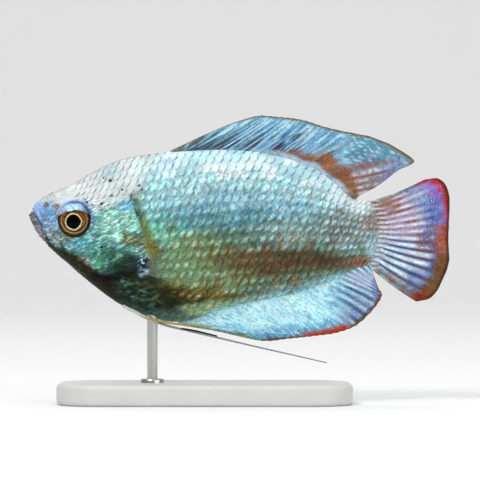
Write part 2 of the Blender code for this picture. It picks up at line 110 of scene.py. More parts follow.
# Scales: spacing along the row and between rows, by distance behind the jaw's tip
SCALE_STEP = [(5.0, 0.85), (9.0, 1.0), (14.0, 1.22), (20.0, 1.4), (30.0, 1.56), (46.0, 1.6),
              (54.0, 1.45), (62.0, 1.2), (68.2, 1.0)]
ROW_STEP = [(5.0, 1.05), (9.0, 1.25), (14.0, 1.55), (20.0, 1.78), (30.0, 2.0), (44.0, 1.98),
            (52.0, 1.8), (58.0, 1.58), (64.0, 1.3), (68.2, 1.15)]
SCALES_FROM, SCALE_ROWS, RUN_STEP = 5.0, 13, 0.05
SCALE_LENGTH, SCALE_WIDTH = 2.15, 1.34
SCALE_DROOP = ([8.0, 20.0, 30.0, 60.0], [26.0, 18.0, 9.0, 5.0])
SCALE_THICKNESS, SCALE_RISE, SCALE_DOME = 0.04, 0.085, 0.02
CHEEK_STEP, CHEEK_ROW, CHEEK_TILT = 0.92, 1.12, 24.0
# Where the scales on the head end, as distances and heights
NAPE_SCALES_END = ([8.0, 13.0, 19.0], [5.4, 4.4, 5.8])
CHEEK_SCALES_TOP = ([7.0, 12.0, 19.0], [4.0, 4.0, 5.4])
CHEEK_SCALES_END = ([6.0, 9.0, 13.0, 17.0, 21.0], [-2.0, -4.4, -7.2, -8.4, -7.4])
# The bare strip behind the gill cover, as heights and its widths there
BARE_STRIP = ([-8.0, 0.0, 4.0, 6.5], [1.2, 1.2, 0.7, 0.1])

# Colours, as red, green and blue in hexadecimal
COLOURS = {
    "flank grey": 0x749486, "upper flank": 0x9CC4D2, "back pale": 0xC0DDE2, "blue flank": 0x689AA6,
    "mid flank": 0x5E7E6A, "rear flank": 0x8AA6A2, "shoulder teal": 0x78BEA8, "shoulder pale": 0xA0CED2,
    "low green": 0x7BA06B, "band": 0x54381C, "band front": 0x786844, "under band": 0x6A8260,
    "belly olive": 0x525424, "belly dark": 0x141A08, "belly pale": 0xA6BE8E, "stalk grey": 0x86908E,
    "stalk brown": 0x74867C, "stalk top": 0xD8DDE0, "stalk blue": 0xB0C4D2, "forehead": 0xDBDDDD,
    "snout top": 0xC8CFD3, "under eye": 0x7E7D70, "opercle low": 0x3A6854, "breast": 0x111E14,
    "jaw brown": 0x80685C, "nostril": 0x784A2C, "violet grey": 0x686E9E, "rust earth": 0x624224,
    "glint": 0xD6F6F6, "iris brown": 0x6C4016, "iris gold": 0x8C6C22, "iris rust": 0x924C06,
    "iris dark": 0x281A0E, "iris edge": 0xBAA070, "crescent": 0x84BAE2, "fin blue": 0x4A7CA6,
    "fin sky": 0x689EBE, "fin ink": 0x244060, "fin olive": 0x707046, "blotch": 0x3E3C4A,
    "soft teal": 0x5C8CA2, "rust gold": 0x905C2A, "bar pale": 0xCECCD4, "bar brown": 0x884E42,
    "bar maroon": 0x7C3C46, "rear violet": 0x6862B0, "anal sky": 0xB4EDF8, "anal deep": 0x5CA4C8,
    "anal rear": 0x8CB4D2, "tail blue": 0x6484B8, "tail pink": 0xC48CA0, "indigo": 0x383E96,
    "lid violet": 0x5C6EA0, "lip lilac": 0x8EAAD8, "lip violet": 0x767098, "wrinkle": 0xBAD0DE,
    "bright cyan": 0x5CB2CE, "gill olive": 0x82904C, "navy": 0x1A243E, "jaw dark": 0x343032,
    "jaw pink": 0x9C8082, "iris olive": 0x60642E, "clear olive": 0x929876, "fin moss": 0x60704E,
    "tail mauve": 0x704A54, "tail orange": 0xA85206, "tail olive": 0x6E4404, "tail flame": 0x8E1C00,
    "moss grey": 0x768278, "tail violet": 0x7E74C2, "tail edge": 0x422216, "fin mist": 0x7AA4C6,
    "soft mauve": 0x9E8E82, "anal mid": 0x8CCEE8, "olive brown": 0x5C5628, "black": 0x020202,
    "white": 0xF4F9FA, "bone": 0xDDE2E2, "nape": 0xCED4D6, "snout blue": 0x749CCA, "pale sky": 0xCDE8EC,
    "ice": 0xBEE4EC, "powder blue": 0x96C2CE, "sky": 0x70B2D4, "deep sky": 0x5496C4, "sea green": 0x609680,
    "moss": 0x4E6654, "cheek": 0x5E9692, "opercle": 0x9ECCBE, "emerald": 0x54B292, "ink green": 0x121E16,
    "throat": 0x221800, "jaw grey": 0x716F6C, "rust brown": 0x965A40, "brown": 0x54381A, "olive": 0x70763E,
    "ochre": 0x865C16, "orange": 0xBA5C1A, "flame": 0xB42C14, "red": 0xBA2C14, "magenta": 0xB058BE,
    "cornflower": 0x4258A0, "lilac": 0xB0B0CE, "gold": 0xAC9242, "pale gold": 0xF6E2B2, "silver": 0xB0B2B8,
}


def linear(name):
    """A named colour in linear light."""
    value = np.array([COLOURS[name] >> shift & 255 for shift in (16, 8, 0)]) / 255
    return np.where(value <= 0.04045, value / 12.92, ((value + 0.055) / 1.055) ** 2.4)


def joined(*parts):
    """Coordinates put together as places."""
    return np.stack(np.broadcast_arrays(*parts), axis=-1)


def running(points):
    """Distance along a line from its first point to each of its points."""
    return np.concatenate([[0], np.cumsum(np.linalg.norm(np.diff(points, axis=0), axis=1))])


def eased(t, start, end, start_slope, end_slope):
    """A cubic from a start at t = 0 to an end at t = 1, with the slopes it has there."""
    first = (1 + 2 * t) * (1 - t) ** 2 * start + t * (1 - t) ** 2 * start_slope
    return first + t * t * (3 - 2 * t) * end + t * t * (t - 1) * end_slope


def smooth(knots):
    """A smooth curve through (position, value) knots, as a function of the position."""
    x, y = np.array(knots, float).T
    span = np.diff(x)
    secant = np.diff(y) / span
    slope = np.empty_like(y)
    slope[1:-1] = (secant[:-1] * span[1:] + secant[1:] * span[:-1]) / (span[1:] + span[:-1])
    slope[0], slope[-1] = 1.5 * secant[0] - 0.5 * slope[1], 1.5 * secant[-1] - 0.5 * slope[-2]

    def at(position):
        position = np.clip(position, x[0], x[-1])
        i = np.clip(np.searchsorted(x, position) - 1, 0, len(x) - 2)
        return eased((position - x[i]) / span[i], y[i], y[i + 1], span[i] * slope[i], span[i] * slope[i + 1])

    return at


def step(low, high, value):
    """0 below low, 1 above high, and a smooth change between. High may be under low."""
    share = np.clip((np.asarray(value, float) - low) / (high - low), 0, 1)
    return share * share * (3 - 2 * share)


def hump(value, middle, width):
    """1 at a middle value, falling away to 0 on both sides of it."""
    return np.exp(-((value - middle) / width) ** 2)


def noise(points, size, seed):
    """Smooth noise from -1 to 1, the same each run, with features of the given size."""
    table = np.random.default_rng(seed).uniform(-1, 1, (17, 17, 17))
    place = np.asarray(points, float) / size + seed * 0.37
    cell = np.floor(place).astype(int)
    share = place - cell
    share = share * share * (3 - 2 * share)
    total = 0
    for corner in np.ndindex(2, 2, 2):
        weight = np.prod(np.where(corner, share, 1 - share), axis=-1)
        total = total + weight * table[tuple(np.moveaxis((cell + corner) % 17, -1, 0))]
    return total


def rippled(d, h, tilt, draw, size, seed):
    """Noise drawn out into ripples that lean by a tilt in degrees, from -1 to 1."""
    turn = math.radians(tilt)
    along, across = d * math.cos(turn) + h * math.sin(turn), h * math.cos(turn) - d * math.sin(turn)
    return noise(joined(along / draw, across, 0.0), size, seed)


def distance_to(line, d, h):
    """Distance in the side view from each place to a line, and its signed side: plus is ahead."""
    line = np.array(line, float)
    best = np.full(np.shape(d), 1e9)
    ahead = np.zeros(np.shape(d))
    for a, b in zip(line[:-1], line[1:]):
        run = b - a
        share = np.clip(((d - a[0]) * run[0] + (h - a[1]) * run[1]) / (run @ run), 0, 1)
        across, up = d - a[0] - share * run[0], h - a[1] - share * run[1]
        away = np.hypot(across, up)
        turn = np.sign(run[1] * across - run[0] * up)
        ahead = np.where(away < best, turn, ahead)
        best = np.minimum(best, away)
    return best, ahead


def gill_edge(d, h):
    """Distance to the gill cover's rear edge, which waves a little, and which side of it a place is."""
    return distance_to(GILL_EDGE, d + 0.4 * noise(joined(d, h, 0.0), 1.5, 19), h)


def orbit_reach(d, h):
    """Distance from the eye's centre, 1 on the rim of the orbit."""
    return np.hypot((d - EYE_AT[0]) / ORBIT[0], (h - EYE_AT[1]) / ORBIT[1])


back, belly = smooth(BACK), smooth(BELLY)
widest, half_width = smooth(WIDEST), smooth(HALF_WIDTH)
scale_step, row_step = smooth(SCALE_STEP), smooth(ROW_STEP)


def keel(distance, full):
    return 1 + (full - 1) * np.minimum(1, distance / KEEL_FROM)


def tail_edge(height):
    """How far back the tail stalk reaches at a height."""
    return TAIL_REACH - TAIL_DROP * ((height - TAIL_MIDDLE) / TAIL_HALF) ** 2


def body_surface(distance, angle):
    """The solids' outer surface. The angle is 0 on the back, pi on the belly, and past pi on the left."""
    up, across = np.cos(angle), np.sin(angle)
    middle = widest(distance)
    reach = np.where(up > 0, back(distance) - middle, middle - belly(distance))
    shape = np.where(up > 0, keel(distance, KEEL_BACK), keel(distance, KEEL_BELLY))
    height = middle + reach * up
    drawn = distance - (BODY_END - tail_edge(height)) * step(STALK_FROM, BODY_END, distance)
    return joined(drawn, np.sign(across) * half_width(distance) * np.abs(across) ** shape, height)


def angle_at(distance, height, side):
    """The surface's angle at a place in the side view."""
    middle = widest(distance)
    reach = np.where(height > middle, back(distance) - middle, middle - belly(distance))
    angle = np.arccos(np.clip((height - middle) / reach, -1, 1))
    return np.where(side > 0, angle, 2 * math.pi - angle)


def angle_along(distance, girth, side):
    """The surface's angle at a girth distance above (plus) or below the widest line."""
    turn = np.linspace(0, math.pi, 241)
    ring = body_surface(np.asarray(distance, float)[:, None], turn[None, :])
    run = np.linalg.norm(np.diff(ring[..., 1:], axis=1), axis=2)
    reached = np.concatenate([np.zeros((len(run), 1)), np.cumsum(run, axis=1)], axis=1)
    middle = reached[:, 120]
    found = np.array([np.interp(m - g, r, turn) for m, g, r in zip(middle, girth, reached)])
    inside = (middle - girth > 0) & (middle - girth < reached[:, -1])
    return np.where(side > 0, found, 2 * math.pi - found), inside


def surface_normal(distance, angle):
    """Outward normal of the solids' surface."""
    small = 0.02
    along = body_surface(distance + small, angle) - body_surface(distance - small, angle)
    around = body_surface(distance, angle + small) - body_surface(distance, angle - small)
    normal = np.cross(along, around)
    return normal / np.maximum(np.linalg.norm(normal, axis=-1, keepdims=True), 1e-9)


def relief(d, h):
    """How far the skin stands out of its even surface: mouth, lips, nostrils, orbit, gill cover."""
    place = joined(d, h, 0.0)
    slit, _ = distance_to(MOUTH, d, h)
    out = 0.16 * hump(slit, 0.45, 0.26) - 0.3 * hump(slit, 0, 0.11)
    out -= 0.10 * hump(slit, 0.85, 0.16) * step(4.5, 3.0, d)
    # Folds round the jaws and on the snout
    fold = np.sin(2 * math.pi * slit / 0.62 + 2.4 * noise(place, 1.3, 15))
    out += 0.05 * fold * step(0.9, 1.3, slit) * step(6.0, 4.0, d)
    out += 0.06 * noise(place, 0.55, 17) * step(7.0, 4.5, d)
    for at, up, size in NOSTRILS:
        near = np.hypot(d - at, h - up)
        out += 0.07 * hump(near, 1.7 * size, 0.5 * size) - 0.2 * hump(near, 0, size)
    for at, up, size in PORES:
        out -= 0.08 * hump(np.hypot(d - at, h - up), 0, 0.7 * size)
    orbit = orbit_reach(d, h)
    out += 0.22 * hump(orbit, 1.1, 0.09) - 0.10 * hump(orbit, 1.3, 0.07) - 1.7 * step(1.04, 0.78, orbit)
    edge, ahead = gill_edge(d, h)
    front = ahead > 0
    brim = 0.10 * np.exp(-edge / 1.8) * step(0.0, 0.3, edge)
    slot = 0.24 * np.exp(-edge / 0.5) * (0.3 + 0.7 * step(-0.5, 2.0, h) * step(14.0, 17.0, d))
    out += np.where(front, brim, -slot * step(6.8, 5.6, h)) * step(5.5, 9.0, d)
    groove, _ = distance_to(CHEEK_GROOVE, d, h)
    out += 0.06 * hump(groove, 0.5, 0.3) - 0.16 * hump(groove, 0, 0.18)
    # Low swellings of the muscles under the cheek
    out += 0.1 * noise(place, 2.1, 29) * step(6.0, 10.0, d) * (edge > 0.3) * front * step(1.35, 1.7, orbit)
    return out


# Markings


def zone(d, h, at, up, reach_d, reach_h, tilt=0.0, soft=0.9):
    """1 in the middle of an oval place on the side view, fading to 0 at its edge."""
    turn = math.radians(tilt)
    along = (d - at) * math.cos(turn) + (h - up) * math.sin(turn)
    across = (h - up) * math.cos(turn) - (d - at) * math.sin(turn)
    return step(1 + soft / 2, 1 - soft / 2, np.hypot(along / reach_d, across / reach_h))


class Coat:
    """Colours in linear light at places in the side view, built up from one ground colour."""

    def __init__(self, name, d, h=0.0, side=0.0):
        self.d, self.h = d, h
        self.place = joined(d, h, 3.0 * side)
        self.colour = np.broadcast_to(linear(name), self.place.shape).copy()

    def noise(self, size, seed, stretch=(1, 1, 1)):
        return noise(self.place * stretch, size, seed)

    def blend(self, colour, amount):
        amount = np.clip(amount, 0, 1)[..., None]
        self.colour = self.colour * (1 - amount) + colour * amount

    def wash(self, name, amount):
        """Lays a named colour over by an amount from 0 to 1."""
        self.blend(linear(name), amount)

    def lay(self, markings, d, h, amount=1.0):
        """Lays a list of markings over in turn."""
        for name, strength, *oval in markings:
            self.wash(name, strength * amount * zone(d, h, *oval))

    def mottled(self, change):
        """The finished colours, each made lighter or darker by a share of itself."""
        return np.clip(self.colour * (1 + change[..., None]), 0.002, 0.95)


class BodyCoat(Coat):
    """The body's coat, with the noises that bend its markings and break them up."""

    def __init__(self, d, h, side):
        super().__init__("flank grey", d, h, side)
        self.edge, self.ahead = gill_edge(d, h)
        self.wide_d, self.wide_h, self.fine = self.noise(3.4, 3), self.noise(3.1, 5), self.noise(0.9, 7)
        self.speckle = self.noise(0.42, 9)
        # Places for the markings: those on the flank are bent more than those on the head
        self.far = d + 0.8 * self.wide_d + 0.3 * self.fine, h + 0.6 * self.wide_h + 0.3 * self.fine
        self.near = d + 0.25 * self.wide_d + 0.12 * self.fine, h + 0.25 * self.wide_h + 0.12 * self.fine


# Each marking is a colour, its strength, its middle, its half length and height, its tilt and softness
FLANK = [
    ("mid flank", 0.85, 37.0, -1.6, 11.0, 4.4),
    ("shoulder teal", 0.95, 26.5, 1.4, 6.2, 6.6),
    ("low green", 0.9, 31.0, -6.6, 8.4, 5.0),
    ("blue flank", 0.95, 38.5, 3.6, 15.0, 3.4, 0, 0.8),
    ("rear flank", 0.85, 50.0, -0.2, 7.0, 2.6),
    ("band", 0.95, 49.0, -6.1, 13.0, 2.7, 0, 0.8),
    ("band front", 0.65, 40.0, -5.8, 6.5, 2.4),
    ("under band", 0.85, 46.0, -10.4, 15.0, 2.2, 9, 0.8),
    ("stalk blue", 0.3, 52.0, -10.4, 9.0, 1.4, 12),
    ("low green", 0.7, 36.0, -9.6, 6.0, 2.4),
    ("belly pale", 0.35, 35.5, -9.6, 4.6, 2.0),
    ("belly olive", 0.95, 31.0, -12.7, 8.5, 2.1, -6),
    ("ochre", 0.7, 36.5, -12.9, 3.6, 0.7, -4),
    ("ochre", 0.4, 28.6, -10.6, 2.6, 1.2, -30),
    # The belly's dark: partly its own colour, partly painted shade on the underside
    ("belly dark", 1.0, 25.6, -12.6, 6.8, 3.2, -16, 1.0),
    ("belly pale", 0.95, 38.0, -14.4, 8.6, 1.3, 4, 0.8),
    ("gill olive", 0.9, 22.7, -1.4, 4.2, 1.3, -70, 0.8),
    ("olive brown", 0.6, 24.3, -4.0, 1.6, 1.5, -30),
    ("ochre", 0.3, 24.4, -3.8, 1.0, 0.8, -30),
]
STALK = [
    ("stalk brown", 0.75, 57.4, 0.8, 4.4, 2.6),
    ("stalk grey", 0.9, 62.4, 0.0, 4.4, 3.4, 0, 0.8),
    ("stalk top", 0.9, 63.8, 4.8, 4.2, 1.6, -4, 0.8),
    ("stalk blue", 0.85, 65.8, -3.4, 2.0, 2.6, 0, 0.8),
    ("rust brown", 0.55, 62.4, -6.2, 2.9, 1.3, 12, 0.8),
    ("orange", 0.35, 63.4, -6.0, 1.4, 0.8, 12, 0.8),
    ("rust brown", 0.45, 65.6, 1.4, 2.2, 2.0),
]
# Washes over the shoulder and nape; the ice and white strips near the back's top are partly painted highlight
SHOULDER = [
    ("sky", 0.4, 25.5, 12.4, 4.0, 1.2, 8),
    ("powder blue", 0.35, 52.0, 9.6, 8.0, 1.6, -26),
    ("white", 0.12, 30.0, 11.4, 9.0, 0.9, -3),
    ("ice", 0.7, 36.0, 13.9, 8.0, 0.9),
    ("shoulder pale", 0.8, 22.6, 7.4, 3.2, 4.6, 10),
    ("ice", 0.55, 29.5, 8.2, 5.6, 2.8),
    ("nape", 0.97, 16.0, 9.8, 7.8, 4.4, 27, 0.5),
    ("powder blue", 0.55, 15.4, 11.0, 1.6, 0.9, 20),
    ("pale sky", 0.6, 21.4, 11.4, 2.2, 1.3, 10),
]
FACE = [
    ("cheek", 1.0, 12.5, -2.4, 10.0, 8.8, -12, 0.4),
    ("forehead", 1.0, 11.2, 7.6, 8.0, 3.6, 27, 0.4),
    ("snout top", 0.9, 3.8, 6.0, 4.0, 1.7, 25, 0.7),
    ("snout blue", 0.97, 3.6, 1.9, 2.7, 3.2, 24, 0.7),
    ("lip lilac", 0.9, 1.9, 3.9, 1.5, 0.85, -62, 0.7),
    ("lip violet", 0.6, 2.75, 2.6, 1.1, 0.45, -70, 0.8),
    ("deep sky", 0.6, 3.9, 3.7, 0.9, 0.4, -10, 0.8),
    ("jaw brown", 0.45, 5.6, 3.0, 1.4, 0.7, -70, 0.8),
    ("under eye", 0.8, 6.4, -1.5, 3.4, 1.3, -38, 0.8),
    ("bright cyan", 0.6, 9.0, -2.7, 2.2, 0.9),
    ("lilac", 0.5, 10.6, -6.0, 1.5, 0.6, -20),
    ("nape", 0.85, 13.4, 5.3, 3.8, 1.7, 12, 0.6),
    ("pale sky", 0.5, 17.2, 6.2, 2.4, 1.0, 12),
    ("opercle", 0.95, 17.8, 1.2, 3.9, 3.6, 0, 0.7),
    ("emerald", 0.4, 20.0, 1.2, 1.5, 3.2, -20),
    ("sky", 0.9, 19.0, 4.8, 2.3, 1.0, 14, 0.7),
    ("ice", 0.7, 18.4, 4.6, 1.4, 0.2, 28, 0.7),
    ("olive brown", 0.8, 19.9, -1.9, 2.5, 1.5, -4),
    ("olive brown", 0.5, 18.2, -0.2, 0.5, 1.3, 12),
    ("jaw brown", 0.6, 12.0, -6.7, 2.8, 0.9, -32),
    ("opercle low", 0.9, 16.8, -5.2, 4.2, 2.0, -8, 0.8),
    ("ink green", 0.8, 19.0, -6.2, 2.8, 1.3, 22),
    ("emerald", 0.6, 13.6, -6.2, 1.3, 1.1),
]
# The breast's dark: partly its own colour, partly painted shadow under the gill cover
BREAST = [
    ("breast", 0.97, 19.6, -11.0, 6.4, 3.6, -32, 0.7),
    ("ink green", 0.8, 22.6, -9.4, 2.6, 1.9, -20, 0.8),
]
# Upright rusty drips between the scales: middle and half length
RUST_DRIPS = [(35.9, -9.6, 1.8), (41.2, -8.8, 1.5), (43.3, -12.8, 0.9), (46.3, -8.9, 1.3), (34.8, -3.6, 1.1),
              (37.9, -3.8, 1.5), (44.9, -3.2, 1.2), (47.6, -2.0, 1.8), (50.4, -1.9, 1.5), (53.4, -2.6, 1.3),
              (38.6, -9.0, 0.9), (50.0, -9.4, 0.9), (31.8, -3.0, 0.9)]
# Lines under the head: the throat's upper edge and the lower jaw's, as distances and heights
THROAT_LINE = ([2.6, 3.95, 5.85, 8.7, 11.55, 13.45, 15.7], [-1.2, -1.7, -2.7, -4.2, -6.3, -7.8, -9.0])
JAW_LINE = ([0.0, 1.0, 2.65, 4.0], [3.9, 3.2, 0.6, -1.9])
# The painted shadow line under the gill cover's lower edge, as distances and heights
THROAT_EDGE = [(12.6, -8.7), (16.0, -9.3), (19.4, -8.4), (21.6, -6.6)]


def colour_flank(c):
    """The pale back, blue and green flank, rusty band, belly and stalk. Toward the back it is lighter, partly
    its own pale colour and partly painted highlight.
    """
    far_d, drop = c.far[0], back(c.d) - c.far[1]
    c.lay(FLANK, *c.far)
    gaps = step(0.0, 0.5, c.noise(1.3, 26, (1, 0.4, 1)))
    c.wash("under band", 0.1 * zone(*c.far, 48.0, -6.1, 13.0, 3.4, 0, 0.8) * gaps)
    rear, front = step(21.0, 25.0, far_d), step(64.0, 58.0, far_d)
    # Lighter toward the back: partly the back's own pale colour, partly painted highlight from light above
    c.wash("upper flank", 0.9 * step(12.6, 9.6, drop) * rear * front)
    c.wash("back pale", 0.92 * step(8.0, 5.2, drop) * rear)
    patchy = c.noise(2.3, 28) * rear * step(6.5, 4.0, drop) * front
    c.wash("white", 0.5 * step(0.08, 0.4, patchy))
    c.wash("sky", 0.35 * step(0.08, 0.45, -patchy))
    c.lay(STALK + SHOULDER, *c.far)
    for at, up, long in RUST_DRIPS:
        drip = zone(c.d + 0.3 * c.fine, c.h, at - 0.1 * (c.h - up), up, 0.5, long)
        c.wash("rust gold", 0.8 * drip)
        c.wash("rust earth", 0.6 * drip * step(-0.2, 0.3, c.fine))


def colour_head(c):
    """The head ahead of the gill cover's rear edge, the breast, the dark throat, and a painted shadow line
    under the gill cover.
    """
    c.lay(FACE, *c.near, np.where(c.ahead > 0, 1.0, step(0.5, 0.0, c.edge)))
    c.lay(BREAST, *c.near)
    strip = c.h - np.interp(c.d, *THROAT_LINE) + 0.6 * c.fine + 0.3
    c.wash("throat", 0.97 * step(0.9, -0.9, strip) * step(18.5, 15.0, c.d + 0.35 * (c.h + 10.0)))
    # A painted shadow line under the gill cover's lower edge
    line, _ = distance_to(THROAT_EDGE, c.d, c.h)
    c.wash("black", 0.9 * hump(line, 0, 0.85))


def colour_jaws(c):
    """Grey lips with fine lines and painted highlights, the mouth's slit, the nostrils and the pores; the
    slit, the nostrils' pits and the pores are darkened as painted shade.
    """
    d, h = c.d, c.h
    jaw = step(1.0, -1.0, (h - np.interp(d, *JAW_LINE)) / (0.12 + 0.6 * step(1.9, 3.0, d)))
    lip, lines = jaw * step(3.5, 2.6, d), c.noise(0.3, 10, (0.5, 1, 1))
    c.wash("throat", 0.95 * jaw * step(2.6, 3.2, d + 0.3 * c.speckle) * step(5.0, 4.0, d))
    c.wash("jaw grey", 0.95 * lip)
    c.wash("jaw pink", 0.6 * lip * step(0.0, 0.5, c.noise(0.8, 11)))
    c.wash("jaw dark", 0.5 * lip * step(0.1, 0.6, lines))
    # Pale streaks on the lower lip, painted highlights
    c.wash("bone", 0.35 * lip * step(-0.1, -0.5, lines) * step(2.4, 1.4, d))
    c.wash("lip violet", 0.6 * zone(d, h, 2.1, -0.2, 0.9, 0.4, -50, 0.8))
    # The mouth's slit darkened as painted shade
    slit, _ = distance_to(MOUTH, d, h)
    c.wash("jaw dark", 0.8 * hump(slit, 0, 0.13))
    curl = c.noise(0.35, 13)
    for at, up, size in NOSTRILS:
        near = np.hypot((d - at) / 1.2, h - up)
        c.wash("nostril", 0.8 * hump(near, 1.1 * size, 0.8 * size) * step(-0.5, 0.3, curl + 0.4 * (at > 5)))
        # Painted shade in the nostril's pit
        c.wash("jaw dark", 0.3 * hump(near, 0, 0.5 * size))
    # The pores painted black, as shade in their pits
    for at, up, size in PORES:
        c.wash("black", 0.97 * hump(np.hypot(d - at, h - up), 0, size))


def colour_gill_edge(c):
    """The rim of the eye with painted shade in its socket, and the olive strip, rusty flecks and dark line
    along the gill cover, the line painted shade in the gill opening.
    """
    d, h, edge = c.d, c.h, c.edge
    orbit = orbit_reach(d, h)
    lid = hump(orbit, 1.1, 0.11) * step(0.6, 2.6, h + 0.35 * d - 3.0)
    c.wash("lip lilac", 0.6 * lid)
    c.wash("lid violet", 0.6 * lid * step(9.0, 12.0, d))
    # Painted shade in the socket, round the eye's edge
    c.wash("ink green", 0.8 * step(1.08, 1.0, orbit))
    behind = (c.ahead <= 0) * step(7.0, 5.0, h) * step(16.0, 19.0, d)
    olive = behind * step(1.9, 0.9, edge + 0.35 * c.wide_d) * step(-7.6, -6.4, h)
    c.wash("gill olive", 0.8 * olive * (0.7 + 0.3 * c.fine) * step(5.0, 3.0, h))
    # The strip's upper part darkened as painted shade in the gill opening
    c.wash("jaw dark", 0.55 * olive * step(1.2, 2.6, h) * step(6.0, 4.6, h))
    patch = step(2.6, 1.0, edge + 0.6 * c.fine + 0.7 * c.speckle) * step(1.0, -4.0, h) * step(-6.4, -5.0, h)
    patch = behind * patch
    c.wash("ochre", 0.6 * patch * step(-0.2, 0.4, c.fine))
    c.wash("brown", 0.7 * patch * step(0.05, 0.35, c.noise(0.6, 18)))
    c.wash("gold", 0.5 * patch * step(0.05, 0.35, c.speckle))
    # A dark line behind the cover's edge: navy above as painted shade in the gill opening, olive brown lower
    # down
    line = hump(edge, 0.2, 0.34) * step(10.0, 13.0, d)
    c.wash("navy", 0.8 * line * (c.ahead <= 0) * step(0.8, 2.4, h) * step(6.4, 5.6, h))
    c.wash("olive brown", 0.6 * line * step(2.4, 0.8, h) * step(-4.6, -3.0, h))


def colour_flecks(c):
    """Flecks at the pectoral fin and on the belly, ripples on the breast, and wrinkles on the snout, with
    painted glints, highlights and shade.
    """
    d, h = c.d, c.h
    fleck = zone(*c.near, 22.0, -6.6, 1.3, 2.0, -14, 0.6)
    c.wash("navy", 0.95 * fleck)
    # Ice flecks at the fin's root, painted glints
    c.wash("ice", 0.95 * fleck * step(0.04, 0.28, c.noise(0.32, 12)))
    fleck = zone(*c.near, 33.0, -11.9, 5.6, 2.3, -12)
    c.wash("belly dark", 0.8 * fleck * step(0.1, 0.5, c.noise(0.8, 20)))
    c.wash("gold", 0.95 * fleck * step(0.16, 0.36, c.noise(0.4, 22)))
    c.wash("ochre", 0.6 * zone(*c.far, 27.6, -2.6, 5.6, 3.4) * step(0.3, 0.6, c.noise(1.1, 24)))
    # Ripples on the breast: painted highlights on their crests, painted shade in their troughs
    wet, ripple = zone(*c.near, 20.8, -12.0, 4.8, 2.0, -30, 0.8), rippled(d, h, 30, 3.4, 0.2, 14)
    c.wash("sea green", 0.6 * wet * step(0.12, 0.5, ripple) * step(15.5, 18.5, d))
    c.wash("ink green", 0.6 * wet * step(-0.1, -0.5, ripple))
    c.wash("olive brown", 0.5 * zone(*c.near, 24.0, -11.4, 5.0, 2.4, -24) * step(0.0, 0.4, ripple))
    # Wrinkles on the snout: painted highlights on the folds, painted shade between them
    wrinkle = rippled(d, h, -6, 3.0, 0.2, 16) * zone(d, h, 4.6, -0.2, 2.0, 3.0, 20, 0.7)
    c.wash("wrinkle", 0.45 * step(0.12, 0.5, wrinkle))
    c.wash("lip violet", 0.35 * step(-0.12, -0.5, wrinkle))
    # Painted shade at the top of the gill opening
    c.wash("ink green", 0.95 * zone(d, h, 19.8, 6.2, 0.7, 0.3, -74, 0.6))
    c.wash("gill olive", 0.9 * zone(*c.near, 20.8, 5.7, 0.9, 0.5, 20, 0.6))
    # Painted shade in the cheek's groove
    groove, _ = distance_to(CHEEK_GROOVE[2:5], d, h)
    c.wash("navy", 0.8 * hump(groove, 0, 0.27))


def colour_margins(c):
    """The tail fin's rays on the end of the stalk, a thin dark line of painted shade along the brow's
    outline, and blue from the anal fin.
    """
    d, h = c.d, c.h
    ray = (TAIL_TOP - h) / (TAIL_TOP - TAIL_BOTTOM) * (TAIL_RAYS - 1) + 0.25 * c.fine
    end, between = step(-2.2, -0.9, d - tail_edge(h) + 0.3 * c.wide_d), between_rays(ray)
    c.wash("rust gold", 0.75 * end * step(6.0, 4.0, ray))
    c.wash("bar pale", 0.85 * end * step(0.5, 0.2, between))
    c.wash("tail mauve", 0.8 * end * step(0.6, 0.85, between))
    # Painted shade: a thin dark line along the brow's outline
    c.wash("jaw dark", 0.5 * step(0.42, 0.1, back(d) - h) * step(1.5, 3.0, d) * step(30.0, 20.0, d))
    above = h - belly(d) + 0.5 * c.fine + 0.4 * c.wide_h + 0.4 * c.speckle
    c.wash("anal sky", 0.75 * step(1.6, 0.0, above) * step(30.0, 36.0, d) * step(63.0, 58.0, d))


def body_colour(d, h, side):
    """The skin's markings, from places in the side view. Both sides carry the same ones."""
    c = BodyCoat(d, h, side)
    for colour in (colour_flank, colour_head, colour_jaws, colour_gill_edge, colour_flecks, colour_margins):
        colour(c)
    return c.mottled(0.16 * c.fine + 0.06 * c.wide_d)


def body_pale(d, h):
    """Where the skin is plain and pale, with only thin outlines round the scales."""
    pale = zone(d, h, 14.4, 9.2, 9.8, 4.9, 27, 0.4)
    return np.maximum(pale, 0.85 * step(4.8, 2.4, back(d) - h) * step(18.0, 24.0, d) * step(66.0, 62.0, d))


# Ovals on the flank, each after its strength
DULL_PLACES = [(0.55, 50.0, -6.4, 13.0, 2.6, 0, 0.8), (0.7, 25.0, -12.6, 7.5, 4.6, -14),
               (0.35, 40.0, 5.6, 15.0, 3.6), (0.2, 31.0, -6.2, 8.0, 4.6)]
RUSTY_PLACES = [(0.9, 48.5, -6.2, 13.5, 3.2), (0.5, 36.0, -5.5, 9.0, 6.5),
                (0.6, 56.5, 1.0, 5.5, 5.0, 0, 0.8), (1.0, 42.0, -10.5, 12.0, 3.0, 8, 0.8)]


def body_gleam(d, h):
    """How strongly each scale's middle shines out of its ground, which sets the strength of its painted
    highlight.
    """
    shine = 1.0 - 0.8 * body_pale(d, h)
    for dulling, *oval in DULL_PLACES:
        shine = shine * (1 - dulling * zone(d, h, *oval))
    rows = 0.82 + 0.3 * noise(joined(d / 5, h, 0.0), 1.6, 33) + 0.5 * noise(joined(d, h, 0.0), 3.4, 35)
    return np.clip(shine * rows * step(0.5, 3.0, h - belly(d)) * step(67.5, 62.0, d), 0.04, 1)


def body_rust(d, h):
    """Where rusty pigment fills the gaps between the scales."""
    amount = sum(strength * zone(d, h, *oval) for strength, *oval in RUSTY_PLACES)
    drips = noise(joined(d, h / 3.5, 0.0), 1.4, 37)
    return np.clip(amount * (0.45 + 1.0 * step(-0.1, 0.4, drips)), 0, 1)


# Meshes and materials


